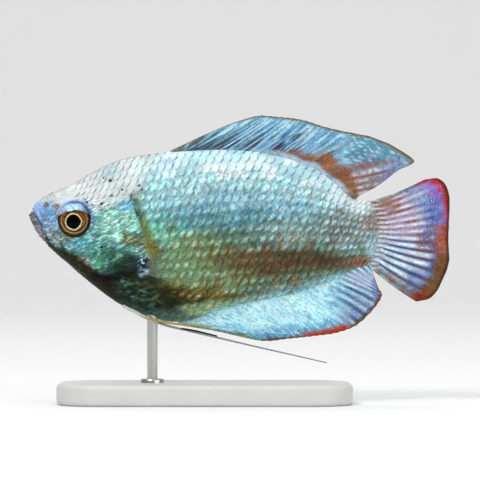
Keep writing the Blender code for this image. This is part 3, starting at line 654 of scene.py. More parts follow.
def to_frame(points):
    """Places on the fish in millimetres, in the part's frame in metres."""
    return (np.asarray(points, float) + (SNOUT_X, 0, AXIS_Z)) * MM


def new_mesh(name, points, faces, edges=()):
    mesh = bpy.data.meshes.new(name)
    mesh.from_pydata([tuple(p) for p in points], edges, faces)
    mesh.update()
    return mesh


def add(name, mesh, *materials):
    thing = bpy.data.objects.new(name, mesh)
    bpy.context.scene.collection.objects.link(thing)
    for material in materials:
        mesh.materials.append(material)
    return thing


def face_out(mesh):
    solid = bmesh.new()
    solid.from_mesh(mesh)
    bmesh.ops.recalc_face_normals(solid, faces=solid.faces)
    if solid.calc_volume(signed=True) < 0:
        bmesh.ops.reverse_faces(solid, faces=solid.faces)
    solid.to_mesh(mesh)
    solid.free()


def give(mesh, **attributes):
    """Attributes of a mesh's points: single numbers, vectors, or the colour that is called tint."""
    for name, values in attributes.items():
        values = np.asarray(values, float)
        kind, key = ("FLOAT", "value") if values.ndim == 1 else ("FLOAT_VECTOR", "vector")
        if name == "tint":
            kind, key = "FLOAT_COLOR", "color"
            values = np.concatenate([values, np.ones((len(values), 1))], axis=1)
        mesh.attributes.new(name, kind, "POINT").data.foreach_set(key, values.ravel())


def give_bake_map(mesh, points_uv):
    """The bake's map, from one place for each vertex."""
    corner = np.empty(len(mesh.loops), int)
    mesh.loops.foreach_get("vertex_index", corner)
    layer = mesh.uv_layers.new(name="OFBake")
    layer.data.foreach_set("uv", np.asarray(points_uv, float)[corner].ravel())


def ring_faces(rings, sides, closed=True):
    """Quads between successive rings of points."""
    grid = np.arange(rings * sides).reshape(rings, sides)
    if closed:
        grid = np.concatenate([grid, grid[:, :1]], axis=1)
    quads = joined(grid[:-1, :-1], grid[:-1, 1:], grid[1:, 1:], grid[1:, :-1])
    return [tuple(quad) for quad in quads.reshape(-1, 4).tolist()]


def wall(upper, lower):
    """Quads between two closed loops of points."""
    return list(zip(upper, upper[1:] + upper[:1], lower[1:] + lower[:1], lower))


def rim_of(rows, columns):
    """The outer points of a grid, in turn round it."""
    grid = np.arange(rows * columns).reshape(rows, columns)
    return np.concatenate([grid[0], grid[1:, -1], grid[-1, -2::-1], grid[-2:0:-1, 0]]).tolist()


def tube(rings, ends=None):
    """Points and faces of a closed shell round a row of rings, with a point that closes each end."""
    rings = np.array(rings, float)
    count, sides = rings.shape[:2]
    last = count * sides
    points = np.concatenate([rings.reshape(-1, 3), rings[[0, -1]].mean(axis=1) if ends is None else ends])
    faces = ring_faces(count, sides)
    faces += [(last, (s + 1) % sides, s) for s in range(sides)]
    faces += [(last + 1, last - sides + s, last - sides + (s + 1) % sides) for s in range(sides)]
    return points, faces


def shell(name, points, faces, sharp=0):
    """A closed mesh that faces outwards and is smooth, but for edges past an angle in degrees."""
    mesh = new_mesh(name, points, faces)
    face_out(mesh)
    mesh.shade_smooth()
    if sharp:
        mesh.set_sharp_from_angle(angle=math.radians(sharp))
    return mesh


def finish_piece(thing, slot, *nodes):
    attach(thing, "root")
    if nodes:
        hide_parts(*nodes)


class Nodes:
    """A node tree with a short way to add to it."""

    def __init__(self, tree):
        self.tree = tree

    def node(self, kind, inputs=(), **settings):
        made = self.tree.nodes.new(kind)
        for key, value in settings.items():
            setattr(made, key, value)
        for key, value in dict(inputs).items():
            self.into(made.inputs[key], value)
        return made

    def into(self, socket, value):
        value = value.socket if isinstance(value, Number) else value
        if isinstance(value, bpy.types.NodeSocket):
            self.tree.links.new(value, socket)
        else:
            socket.default_value = value


class Number:
    """A number that a material works out at each place, open to plain arithmetic."""

    def __init__(self, finish, socket):
        self.finish, self.socket = finish, socket

    def worked(self, operation, *values):
        made = self.finish.node("ShaderNodeMath", dict(enumerate(values)), operation=operation)
        return Number(self.finish, made.outputs[0])

    def __add__(self, other):
        return self.worked("ADD", self, other)

    def __sub__(self, other):
        return self.worked("SUBTRACT", self, other)

    def __rsub__(self, other):
        return self.worked("SUBTRACT", other, self)

    def __mul__(self, other):
        return self.worked("MULTIPLY", self, other)

    def __truediv__(self, other):
        return self.worked("DIVIDE", self, other)

    def root(self):
        return self.worked("SQRT", self)

    def ramp(self, low, high, to_low=0.0, to_high=1.0):
        """A smooth change from one value to another while the number goes from low to high."""
        span = {"Value": self, "From Min": low, "From Max": high, "To Min": to_low, "To Max": to_high}
        made = self.finish.node("ShaderNodeMapRange", span, interpolation_type="SMOOTHSTEP")
        return Number(self.finish, made.outputs["Result"])


class Finish(Nodes):
    """A Principled material with a few helpers for its nodes."""

    def __init__(self, name, **values):
        self.material = bpy.data.materials.new(name)
        self.material.use_nodes = True
        super().__init__(self.material.node_tree)
        self.shader = self.tree.nodes["Principled BSDF"]
        for key, value in values.items():
            self.shader.inputs[key.replace("_", " ").title().replace("Ior", "IOR")].default_value = value

    def value(self, name):
        return Number(self, self.node("ShaderNodeAttribute", attribute_name=name).outputs["Fac"])

    def colour(self, name):
        return self.node("ShaderNodeAttribute", attribute_name=name).outputs["Color"]

    def mix(self, amount, a, b, blend="MIX"):
        made = self.node("ShaderNodeMix", data_type="RGBA", blend_type=blend)
        for socket, value in zip((0, 6, 7), (amount, a, b)):
            self.into(made.inputs[socket], value)
        return made.outputs[2]

    def toned(self, tint, change, amount=1.0):
        """The colour, multiplied by another."""
        return self.mix(amount, tint, (*change, 1), "MULTIPLY")

    def noise(self, size, detail=2.0, stretch=(1, 1, 1), tilt=0.0, shift=0.0):
        """Noise on the object's own coordinates, with features of a size in millimetres."""
        at = self.node("ShaderNodeTexCoord").outputs["Object"]
        turned = self.node("ShaderNodeMapping", {"Vector": at, "Location": (shift, 0, 0)})
        turned.inputs["Rotation"].default_value = (0, math.radians(tilt), 0)
        drawn = self.node("ShaderNodeMapping", {"Vector": turned.outputs[0], "Scale": stretch}).outputs[0]
        made = self.node("ShaderNodeTexNoise", {"Vector": drawn, "Scale": 1 / (size * MM), "Detail": detail})
        return Number(self, made.outputs["Fac"])

    def ridges(self):
        """Slanting ripples, which rise towards the tail."""
        long = self.noise(0.4, 2.0, (0.24, 0.8, 1), tilt=26)
        return long * 0.66 + self.noise(0.36, 1.0, (0.4, 1, 1), tilt=-12) * 0.34

    def lit(self, tint, gain, sheen):
        """A painted highlight: a brighter colour that turns to cold white the more, the paler it is itself.
        """
        light = Number(self, self.node("ShaderNodeRGBToBW", {"Color": tint}).outputs[0])
        return self.mix(light.ramp(0.02, 0.3, 0.0, sheen), self.toned(tint, (gain, gain, gain)), rgb("glint"))

    def pigment(self, grain):
        """The mesh's colours, broken up by fine pigment and, on the cheek, by ripples with painted highlights
        on their crests and painted shade in their hollows.
        """
        tint, busy = self.colour("tint"), 1.0 - self.value("pale") * 0.7
        for size, shift, low, high, most, change in (
                (1.7, 0, 0.5, 0.66, 0.45, (0.6, 1.06, 1.25)), (2.1, 1, 0.5, 0.66, 0.25, (1.3, 1.0, 0.7)),
                (1.3, 5, 0.5, 0.66, 0.35, (0.78, 1.2, 0.95)), (0.4, 7, 0.5, 0.36, grain, (0.36, 0.4, 0.43)),
                (0.34, 2, 0.53, 0.66, 0.8 * grain, (1.6, 1.6, 1.55))):
            tint = self.toned(tint, change, self.noise(size, shift=shift).ramp(low, high, 0, most) * busy)
        ripple, wavy = self.ridges(), self.value("wavy")
        # Painted shade in the ripples' hollows, and painted highlights on their crests
        tint = self.toned(tint, (0.32, 0.42, 0.42), ripple.ramp(0.5, 0.41) * wavy * 0.7)
        return self.mix(ripple.ramp(0.53, 0.6) * wavy * 0.8, tint, self.lit(tint, 2.1, 0.38))

    def bump(self, height, strength, depth):
        made = self.node("ShaderNodeBump", {"Height": height, "Strength": strength, "Distance": depth * MM})
        self.into(self.shader.inputs["Normal"], made.outputs["Normal"])

    def rough(self, size, low, high, detail=2.0):
        """Roughness that wanders between two values."""
        self.into(self.shader.inputs["Roughness"], self.noise(size, detail).ramp(0.3, 0.7, low, high))

    def paint(self, colour):
        self.into(self.shader.inputs["Base Color"], colour)


def rgb(name):
    return (*linear(name), 1)


def skin_finish():
    f = Finish("moist_skin", roughness=0.4, specular_ior_level=0.05, coat_weight=0.02, coat_roughness=0.12)
    f.paint(f.pigment(0.6))
    f.rough(0.8, 0.28, 0.46)
    f.bump(f.noise(0.3, 3.0) + f.ridges() * f.value("wavy"), 0.5, 0.1)
    return f.material


def scale_finish():
    """Each scale has a bright slanting tooth in its middle, which is a painted highlight, and a dark free
    edge where the skin is pale.
    """
    f = Finish("fish_scale", roughness=0.38, specular_ior_level=0.08, coat_weight=0.03, coat_roughness=0.12)
    along, across, shade, pale = (f.value(name) for name in ("along", "across", "shade", "pale"))
    calm = 1.0 - f.value("wavy")
    dull = calm * (1.0 - pale)
    tint = f.pigment(0.4)
    hatch = f.noise(0.3, 2.0, (1, 1, 0.3), tilt=-30, shift=9)
    tint = f.toned(tint, (0.4, 0.46, 0.5), hatch.ramp(0.48, 0.36) * (dull * 0.6))
    tint = f.toned(tint, (1.5, 1.5, 1.5), hatch.ramp(0.54, 0.66) * (dull * 0.6))
    tint = f.toned(tint, (0.5, 0.56, 0.6), shade.ramp(0.0, 0.5, 0.4, 0.0) * dull)
    tint = f.toned(tint, (1.25, 1.25, 1.22), shade.ramp(0.6, 1.0, 0.0, 0.35))
    # Rust gathers in upright streaks where the body has any
    rusty = f.noise(0.8, 2.0, (1.4, 1, 0.6), tilt=-14, shift=3).ramp(0.42, 0.62) * f.value("rust")
    tint = f.mix(rusty * 0.75, tint, rgb("rust earth"))
    blot = f.noise(0.8, 2.0, (1.3, 1, 0.7), shift=6).ramp(0.5, 0.36) * dull
    tint = f.toned(tint, (0.4, 0.48, 0.5), blot * 0.5)
    # The tooth, a painted highlight, and the darker ground round it
    spot_d = (along - across * 0.2 - 0.77 + (f.noise(0.6) * 0.44 - 0.22)) / 0.14
    spot_a = (across + (shade * 0.3 - 0.2)) / 0.5
    near = (spot_d * spot_d + spot_a * spot_a).root()
    tint = f.toned(tint, (0.42, 0.5, 0.54), near.ramp(0.8, 1.8) * (dull * 0.34))
    spot = near.ramp(1.3, 0.3) * f.value("gleam") * calm * f.noise(0.35, shift=8).ramp(0.36, 0.56, 0.4, 1.0)
    tint = f.mix(spot, tint, f.lit(tint, 2.0, 0.55))
    # The dark free edge, darker on its lower half as painted shade under light from above
    rim = f.value("brim").ramp(0.86, 0.95) * across.ramp(0.9, 0.0, 0.2, 1.0)
    rim = rim * across.ramp(-0.95, -0.45, 0.3, 1.0) * f.noise(0.8, shift=4).ramp(0.34, 0.6, 0.35, 1.0)
    rim = rim * (pale * 0.4 + (calm * 0.35 + 0.1))
    f.paint(f.toned(tint, (0.12, 0.17, 0.2), rim))
    f.rough(0.5, 0.26, 0.44)
    f.bump(f.noise(0.35) + f.ridges() * f.value("wavy"), 0.4, 0.07)
    return f.material


def fin_finish(name, gloss=0.4, **more):
    f = Finish(name, roughness=gloss, specular_ior_level=0.16, coat_weight=0.04, coat_roughness=0.2, **more)
    tint = f.toned(f.colour("tint"), (0.7, 1.05, 1.2), f.noise(0.8).ramp(0.5, 0.64, 0, 0.5))
    tint = f.toned(tint, (0.42, 0.5, 0.6), f.noise(0.34, 3.0, shift=1).ramp(0.5, 0.34, 0, 0.65))
    # Fine flecks of painted highlight
    f.paint(f.mix(f.noise(0.3, 3.0, shift=2).ramp(0.54, 0.7, 0.0, 0.55), tint, f.lit(tint, 1.5, 0.3)))
    f.bump(f.noise(0.3, 3.0), 0.4, 0.06)
    return f.material


def eye_finish():
    f = Finish("wet_eye", roughness=0.3, specular_ior_level=0.02, coat_weight=0.04, coat_roughness=0.05)
    f.paint(f.mix(1.0, f.colour("tint"), f.noise(0.3, 3.0).ramp(0.35, 0.7, 0.6, 1.25), "MULTIPLY"))
    f.bump(f.noise(0.2), 0.05, 0.03)
    return f.material


def stand_finish():
    f = Finish("satin_stand", roughness=0.5)
    f.paint(f.mix(f.noise(4.0, 4.0), (0.60, 0.60, 0.59, 1), (0.68, 0.68, 0.67, 1)))
    f.rough(1.5, 0.42, 0.56, 3.0)
    f.bump(f.noise(0.25), 0.25, 0.02)
    return f.material


def rod_finish():
    f = Finish("brushed_rod", roughness=0.3, metallic=1.0, anisotropic=0.5)
    f.paint(f.mix(f.noise(0.6, 2.0, (1, 1, 0.05)), (0.50, 0.50, 0.49, 1), (0.66, 0.66, 0.65, 1)))
    f.bump(f.noise(0.15, 2.0, (1, 1, 0.03)), 0.3, 0.01)
    return f.material


# Skin


def skin():
    """The whole body in one skin, from the jaw's tip to the tail fin's root."""
    head = HEAD_LENGTH * (np.arange(HEAD_RINGS) / HEAD_RINGS) ** 1.12
    body = HEAD_LENGTH + (BODY_END - HEAD_LENGTH) * np.linspace(0, 1, BODY_RINGS) ** 1.05
    rings = np.concatenate([head, body])
    turn = np.linspace(0, 2 * math.pi, 721)
    angles = []
    for distance in rings:
        run = running(body_surface(distance, turn))
        angles.append(np.interp(run[-1] * np.arange(SKIN_SIDES) / SKIN_SIDES, run, turn))
    angle = np.array(angles)
    distance = np.broadcast_to(rings[:, None], angle.shape)
    points = body_surface(distance, angle)
    normal = surface_normal(np.clip(distance, 0.03, BODY_END - 0.03), angle)
    # The inset narrows to nothing in the jaw's tip, which is thinner than it. The stalk thins to the fin
    inset = COAT_DEPTH * step(0.0, 2.0, distance)
    rise = relief(points[..., 0], points[..., 2]) * step(0.0, 0.5, distance) - inset
    points = points + normal * rise[..., None]
    points[..., 1] *= 1 - 0.86 * step(65.0, BODY_END, distance) ** 2
    points, faces = tube(points)
    mesh = shell("skin", to_frame(points), faces)
    d, sideways, h = points.T
    _, ahead = gill_edge(d, h)
    wavy = [zone(d, h, 13.6, -1.8, 9.0, 7.4, -14, 0.3) * (ahead > 0),
            zone(d, h, 18.4, -11.0, 4.6, 2.4, -32, 0.6), 0.45 * zone(d, h, 4.4, 0.6, 3.0, 3.2, -30, 0.5)]
    give(mesh, tint=body_colour(d, h, np.where(sideways < 0, -1.0, 1.0)), rust=body_rust(d, h),
         pale=body_pale(d, h), wavy=np.max(wavy, axis=0))
    girth = np.concatenate([np.tile((np.arange(SKIN_SIDES) + 0.5) / SKIN_SIDES, len(rings)), [0.5, 0.5]])
    reach = np.concatenate([np.repeat(rings / BODY_END, SKIN_SIDES), [0, 1]])
    give_bake_map(mesh, 0.01 + 0.98 * joined(reach, girth))
    return add("skin", mesh, skin_finish())


# Scales


def scale_plate(side):
    """One scale, 1 long and 1 wide, from its root at -0.5 to its free edge, which falls back downwards."""
    rows, columns = 5, 7
    along, across = np.meshgrid(np.linspace(0, 1, rows), np.linspace(-1, 1, columns), indexing="ij")
    bend = (-side * across - 0.4) / 1.4
    rear = 0.5 - 0.42 * (1 - np.sqrt(1 - 0.92 * bend ** 2))
    wide = 0.5 * (0.62 + 0.38 * step(0.0, 0.6, along))
    top = joined(-0.5 + along * (rear + 0.5), across * wide * (1 - 0.06 * (along > 0.9)), 0.0).reshape(-1, 3)
    low = len(top)
    rim = rim_of(rows, columns)
    faces = ring_faces(rows, columns, closed=False)
    under_rim = list(range(low, low + len(rim)))
    faces += wall(rim, under_rim) + [tuple(under_rim)]
    mesh = shell("scale_plate", np.concatenate([top, top[rim]]), faces, 50)

    def both(values):
        return np.concatenate([values.ravel(), values.ravel()[rim]])

    brim = both(np.maximum(along, 0.62 + 0.38 * np.abs(across) * along))
    along, across, under = both(along), both(across), np.arange(low + len(rim)) >= low
    lift = SCALE_RISE * along - SCALE_DOME * across ** 2 * along + 0.01 - SCALE_THICKNESS * under
    # Across counts upwards on both sides of the fish
    give(mesh, along=along, across=-side * across, brim=brim, lift=lift * MM,
         patch=joined(along - 0.5, across / 2, 0.0))
    return add("scale_plate", mesh)


def body_places(side):
    """Roots of the body's scales, in staggered rows that close up towards the head and the tail."""
    run = np.arange(SCALES_FROM, BODY_END - 0.3, RUN_STEP)
    count_to = np.concatenate([[0], np.cumsum(RUN_STEP / scale_step(run[:-1] + RUN_STEP / 2))])
    places = []
    for row in range(-SCALE_ROWS, SCALE_ROWS + 1):
        marks = np.arange(0.5 * (row % 2), count_to[-1], 1.0)
        places += [(d, row) for d in np.interp(marks, count_to, run)]
    distance, row = np.array(places).T
    ahead = distance + 0.2
    # Scales point a little down as well as back, most on the nape
    droop = 0.2 * np.tan(np.radians(np.interp(distance, *SCALE_DROOP)))
    angle, inside = angle_along(distance, row * row_step(distance), side)
    angle_ahead, inside_ahead = angle_along(ahead, row * row_step(ahead) - droop, side)
    keep = inside & inside_ahead
    distance, ahead, angle, angle_ahead = (v[keep] for v in (distance, ahead, angle, angle_ahead))
    root = body_surface(distance, angle)
    lie = body_surface(ahead, angle_ahead) - root
    size = joined(SCALE_LENGTH * scale_step(distance), SCALE_WIDTH * row_step(distance))
    d, h = root[:, 0], root[:, 2]
    keep_off_tail = distance + size[:, 0] < BODY_END + 0.1
    edge, front = gill_edge(d, h)
    cheek = (front > 0) & (h < 6.2)
    strip = (front <= 0) & (edge < np.interp(h, *BARE_STRIP)) & (d > 16.0)
    bare = (d < 8.0) | (cheek & (h < np.interp(d, *NAPE_SCALES_END)))
    bare |= (orbit_reach(d, h) < 1.3) | strip & (h > -8.5) | ((d < 15.5) & (h < -9.5))
    return root, lie, size, distance, angle, ~bare & keep_off_tail


def cheek_places(side):
    """Roots of the small scales on the cheek and gill cover, in slanting rows."""
    lean_d, lean_h = math.cos(math.radians(CHEEK_TILT)), math.sin(math.radians(CHEEK_TILT))
    rows, marks = np.meshgrid(np.arange(-14, 14), np.arange(-16, 16), indexing="ij")
    shake = np.random.default_rng(5).uniform(-0.1, 0.1, (2, *rows.shape))
    u, v = (marks + 0.5 * (rows % 2)) * CHEEK_STEP + shake[0], rows * CHEEK_ROW + shake[1]
    d, h = (15.0 + u * lean_d - v * lean_h).ravel(), (-1.0 + u * lean_h + v * lean_d).ravel()
    fits = (d > 5.0) & (d < 22.0) & (h < back(np.clip(d, 0, 60)) - 1.5) & (h > belly(np.clip(d, 0, 60)) + 1.5)
    d, h = d[fits], h[fits]
    angle = angle_at(d, h, side)
    root = body_surface(d, angle)
    far_d, far_h = d + 0.2 * lean_d, h + 0.2 * lean_h
    lie = body_surface(far_d, angle_at(far_d, far_h, side)) - root
    reach = SCALE_LENGTH * CHEEK_STEP
    edge, front = distance_to(GILL_EDGE, d + reach * lean_d, h + reach * lean_h)
    keep = (front > 0) & (edge > 0.2) & (d > 7.0) & (orbit_reach(d, h) > 1.34)
    keep &= orbit_reach(d + reach, h + 0.3 * reach) > 1.2
    keep &= h < np.interp(d, *CHEEK_SCALES_TOP)
    keep &= h > np.interp(d, *CHEEK_SCALES_END)
    return root, lie, np.tile([reach, SCALE_WIDTH * CHEEK_ROW], (len(d), 1)), d, angle, keep


def scale_points(side):
    """All scale roots on one side, as points that carry each scale's lie, size, gleam and bake place."""
    *columns, keep = (np.concatenate(column) for column in zip(body_places(side), cheek_places(side)))
    root, lie, size, distance, angle = (column[keep] for column in columns)
    normal = surface_normal(distance, angle)
    lie /= np.linalg.norm(lie, axis=1)[:, None]
    root = root - normal * COAT_DEPTH
    shake = np.random.default_rng(11 if side < 0 else 12)
    size = size * (1 + shake.uniform(-0.06, 0.06, size.shape))
    middle = root + lie * size[:, :1] * 0.5
    lie = lie + shake.uniform(-0.06, 0.06, lie.shape)
    shade = shake.uniform(0, 1, len(root))
    gleam = body_gleam(middle[:, 0], middle[:, 2]) * shake.uniform(0.35, 1.0, len(root))
    around = np.where(side > 0, angle, 2 * math.pi - angle) / math.pi
    mesh = new_mesh("scale_roots", to_frame(root), [])
    give(mesh, lie=lie, facing=normal, size=joined(*(size * MM).T, 1.0), shade=shade, gleam=gleam,
         bake_place=joined(0.02 + 0.96 * distance / BODY_END, 0.02 + 0.96 * around, 0.0))
    return add("scale_roots", mesh)


class Tree(Nodes):
    """A geometry node tree with named inputs."""

    def __init__(self, name, **inputs):
        super().__init__(bpy.data.node_groups.new(name, "GeometryNodeTree"))
        sockets = [("Geometry", "INPUT", "Geometry"), ("Geometry", "OUTPUT", "Geometry")]
        for key, way, kind in sockets + [(key, "INPUT", kind) for key, kind in inputs.items()]:
            self.tree.interface.new_socket(key, in_out=way, socket_type=f"NodeSocket{kind}")
        self.start = self.tree.nodes.new("NodeGroupInput").outputs

    def made(self, kind, inputs=(), out=0, **settings):
        """An output of a new geometry node."""
        return self.node(f"GeometryNode{kind}", inputs, **settings).outputs[out]

    def named(self, name, kind="FLOAT_VECTOR"):
        return self.made("InputNamedAttribute", {"Name": name}, "Attribute", data_type=kind)

    def vector(self, operation, a, b=None):
        inputs = {0: a} if b is None else {0: a, "Scale" if operation == "SCALE" else 1: b}
        return self.node("ShaderNodeVectorMath", inputs, operation=operation).outputs[0]

    def store(self, geometry, name, value, kind, domain="POINT"):
        return self.made("StoreNamedAttribute", {"Geometry": geometry, "Name": name, "Value": value},
                         data_type=kind, domain=domain)

    def close(self, geometry, material):
        """Realized, given its material and sent out."""
        whole = self.made("RealizeInstances", {"Geometry": geometry})
        dressed = self.made("SetMaterial", {"Geometry": whole, "Material": material})
        self.node("NodeGroupOutput", {0: dressed})
        return self.tree

    @staticmethod
    def run(thing, group, name, finish, **values):
        """The plain mesh that the tree makes of an object, which is then removed."""
        modifier = thing.modifiers.new(group.name, "NODES")
        modifier.node_group = group
        sockets = {s.name: s.identifier for s in group.interface.items_tree if s.in_out == "INPUT"}
        for key, value in values.items():
            modifier[sockets[key]] = value
        mesh = bpy.data.meshes.new_from_object(thing.evaluated_get(bpy.context.evaluated_depsgraph_get()))
        thing.modifiers.remove(modifier)
        bpy.data.objects.remove(thing)
        mesh.name = name
        if not mesh.materials:
            mesh.materials.append(finish)
        return add(name, mesh)


def scale_tree():
    """Lays a plate at each root, along the lie of the scales, and presses it onto the skin."""
    t = Tree("lay_scales", Plate="Object", Skin="Object", Material="Material", PatchSize="Float")
    plate, ground = (t.made("ObjectInfo", {"Object": t.start[key]}, "Geometry") for key in ("Plate", "Skin"))
    axes = {"Primary Axis": t.named("facing"), "Secondary Axis": t.named("lie")}
    turn = t.node("FunctionNodeAxesToRotation", axes, primary_axis="Z", secondary_axis="X").outputs[0]
    coat = t.made("InstanceOnPoints", {"Points": t.start["Geometry"], "Instance": plate, "Rotation": turn,
                                       "Scale": t.named("size")})
    coat = t.made("RealizeInstances", {"Geometry": coat})

    def from_skin(value, kind):
        return t.made("SampleNearestSurface", {"Mesh": ground, "Value": value}, "Value", data_type=kind)

    # Each place on a scale takes the markings of the skin under it
    for name, kind in (("tint", "FLOAT_COLOR"), ("rust", "FLOAT"), ("wavy", "FLOAT"), ("pale", "FLOAT")):
        coat = t.store(coat, name, from_skin(t.named(name, kind), kind), kind)
    foot = t.made("Proximity", {"Target": ground}, "Position")
    out = t.vector("NORMALIZE", from_skin(t.made("InputNormal"), "FLOAT_VECTOR"))
    raised = t.vector("ADD", foot, t.vector("SCALE", out, t.named("lift", "FLOAT")))
    coat = t.made("SetPosition", {"Geometry": coat, "Position": raised})
    place = t.vector("ADD", t.named("bake_place"), t.vector("SCALE", t.named("patch"), t.start["PatchSize"]))
    coat = t.store(coat, "OFBake", place, "FLOAT2", "CORNER")
    return t.close(coat, t.start["Material"])


def scales(ground):
    tree, finish = scale_tree(), scale_finish()
    for word, side in SIDES.items():
        plate = scale_plate(side)
        coat = Tree.run(scale_points(side), tree, f"scales_{word}", finish, Plate=plate, Skin=ground,
                        Material=finish, PatchSize=0.003)
        finish_piece(coat, "skin")
        bpy.data.objects.remove(plate)


def pore_spots():
    """Dark sensory pores of the head, standing in the scales as small round studs, their black painted shade
    of the pores' pits.
    """
    f = Finish("pore_dark", roughness=0.5, specular_ior_level=0.1)
    # Near black, as painted shade in the pores' pits
    f.paint(f.mix(f.noise(0.2), (0.006, 0.009, 0.01, 1), (0.03, 0.04, 0.042, 1)))
    f.bump(f.noise(0.1), 0.3, 0.02)
    turn = 2 * math.pi * np.arange(14) / 14
    out, lift = np.array(PORE_STUD).T[..., None]
    for word, side in SIDES.items():
        points, faces = [], []
        for at, up, size in PORES:
            spot_d, spot_h = at + out * size * np.cos(turn), up + out * size * np.sin(turn)
            angle = angle_at(spot_d, spot_h, side)
            rings = body_surface(spot_d, angle) + surface_normal(spot_d, angle) * lift[..., None]
            stud, stud_faces = tube(rings[1:-1], rings[[0, -1], 0])
            faces += [tuple(len(points) + v for v in face) for face in stud_faces]
            points += list(stud)
        mesh = shell(f"pores_{word}", to_frame(points), faces)
        finish_piece(add(f"pores_{word}", mesh, f.material), "skin")


# Eyes


def eye_colour(d, h):
    """Black pupil in a pale gold ring, a mottled brown iris, and a blue crescent over it, with painted shadow
    under the crescent and round the lower rim, and painted glints.
    """
    c = Coat("iris brown", d, h)
    mottle, grain = c.noise(0.7, 21), c.noise(0.3, 25)
    across, up = d - PUPIL_AT[0], h - PUPIL_AT[1]
    pupil, turn = np.hypot(across, up), np.degrees(np.arctan2(up, across))
    # The ring comes to faint corners at the back and underneath
    corner = 0.12 * hump(turn, 4, 9) + 0.07 * hump(turn, -84, 12)
    pupil = pupil - corner + 0.04 * c.noise(0.8, 23)
    c.wash("iris gold", 0.9 * step(120, 165, np.abs(turn)) + 0.8 * step(-60, -110, turn))
    c.wash("iris rust", 0.9 * step(75, 55, turn) * step(-12, 12, turn))
    c.wash("iris dark", 0.75 * step(0.1, 0.7, mottle) + 0.5 * step(0.2, 0.7, grain))
    disc = np.hypot((d - 8.8) / 2.85, (h - 1.75) / 2.9)
    under = step(30, -20, turn)
    c.wash("iris dark", 0.85 * hump(disc, 0.77, 0.045) * under)
    c.wash("iris edge", 0.8 * hump(disc, 0.86, 0.04) * (0.35 + 0.65 * under))
    c.wash("iris edge", 0.5 * hump(disc, 0.68, 0.03) * step(20, -10, turn) * step(-80, -50, turn))
    c.wash("iris olive", 0.7 * step(0.9, 0.95, disc) * step(-20, -60, turn))
    c.wash("iris dark", 0.85 * hump(disc, 0.94, 0.03) + 0.9 * step(0.97, 1.0, disc))
    c.wash("iris dark", 0.85 * hump(pupil, 1.72, 0.11))
    c.wash("pale gold", 0.97 * step(1.66, 1.54, pupil) * step(1.3, 1.4, pupil))
    c.wash("black", step(1.42, 1.33, pupil))
    lid = h - (3.52 - 0.10 * (d - 8.9) ** 2)
    # A painted shadow under the crescent's lower edge
    c.wash("black", 0.9 * hump(lid, -0.1, 0.16) * step(-0.5, -0.1, c.noise(0.5, 27)))
    c.wash("crescent", step(0.0, 0.18, lid))
    c.wash("glint", 0.65 * step(0.1, 0.3, lid) * zone(d, h, 8.6, 4.1, 1.5, 0.6))
    c.wash("glint", 0.95 * zone(d, h, 7.95, 3.55, 0.62, 0.17, 4, 0.5))
    c.wash("lilac", 0.75 * step(0.05, 0.3, lid) * step(7.6, 6.3, d))
    c.wash("lid violet", 0.75 * step(0.05, 0.3, lid) * step(9.8, 11.0, d))
    c.wash("lid violet", 0.85 * step(4.75, 5.1, h))
    # Painted shade round the ball's lower rim, where it sinks into the socket
    rim = np.hypot((d - EYE_AT[0]) / EYE_RADII[0], (h - EYE_AT[1]) / EYE_RADII[2])
    c.wash("ink green", step(0.93, 1.0, rim) * step(4.2, 3.2, h))
    return c.colour


def eye(word, side):
    """A ball with a flat iris sunk a little round the bulge of the lens."""
    rings, sides = 72, 96
    polar = math.pi * ((np.arange(rings) + 0.5) / rings)
    p, t = np.meshgrid(polar, 2 * math.pi * np.arange(sides) / sides, indexing="ij")
    radius = np.sin(p)
    lens, iris = np.exp(-(radius / 0.42) ** 4), np.exp(-((radius - 0.62) / 0.2) ** 4)
    swell = 1 + np.where(p > math.pi / 2, 0.035 * lens - 0.05 * iris, 0)
    out = -EYE_RADII[1] * np.cos(p) * swell
    across, up = EYE_RADII[0] * radius * np.cos(t), EYE_RADII[2] * radius * np.sin(t)
    lean = math.radians(EYE_LEAN)
    middle = body_surface(np.array(EYE_AT[0]), angle_at(*np.array(EYE_AT), 1))[1] - EYE_DEPTH
    y = side * (middle + out * math.cos(lean) - up * math.sin(lean))
    h = EYE_AT[1] + up * math.cos(lean) + out * math.sin(lean)
    points, faces = tube(joined(EYE_AT[0] + across, y, h))
    mesh = shell(f"eye_{word}", to_frame(points), faces)
    flat = np.concatenate([(EYE_AT[1] + up).ravel(), [EYE_AT[1]] * 2])
    give(mesh, tint=eye_colour(points[:, 0], flat))
    return add(f"eyeball_{word}", mesh, bpy.data.materials["wet_eye"])


# Fins

DORSAL_BASE = (26.6, 61.6)
DORSAL_FRONT = [(0.0, 26.9, 15.1), (0.03, 30.6, 16.9), (0.06, 35.0, 18.8), (0.09, 39.0, 20.5),
                (0.12, 42.4, 21.5), (0.20, 44.8, 21.7), (0.31, 47.4, 21.5), (0.39, 49.7, 21.3),
                (0.50, 52.8, 20.7), (0.60, 55.9, 19.7), (0.68, 59.3, 18.9), (0.74, 63.2, 18.1),
                (0.79, 66.9, 17.2), (0.82, 70.0, 15.4), (0.85, 73.2, 13.1)]
DORSAL_REAR = [(0.85, 73.2, 13.1), (0.89, 70.1, 11.3), (0.92, 67.8, 9.5), (0.95, 65.6, 8.0),
               (1.0, 62.6, 6.7)]
DORSAL_SPINES, DORSAL_SOFT_FROM, DORSAL_TIP_AT = 16, 0.62, 0.85
DORSAL_REAR_RAYS = [0.89, 0.925, 0.96, 1.0]
ANAL_BASE = (27.2, 64.8)
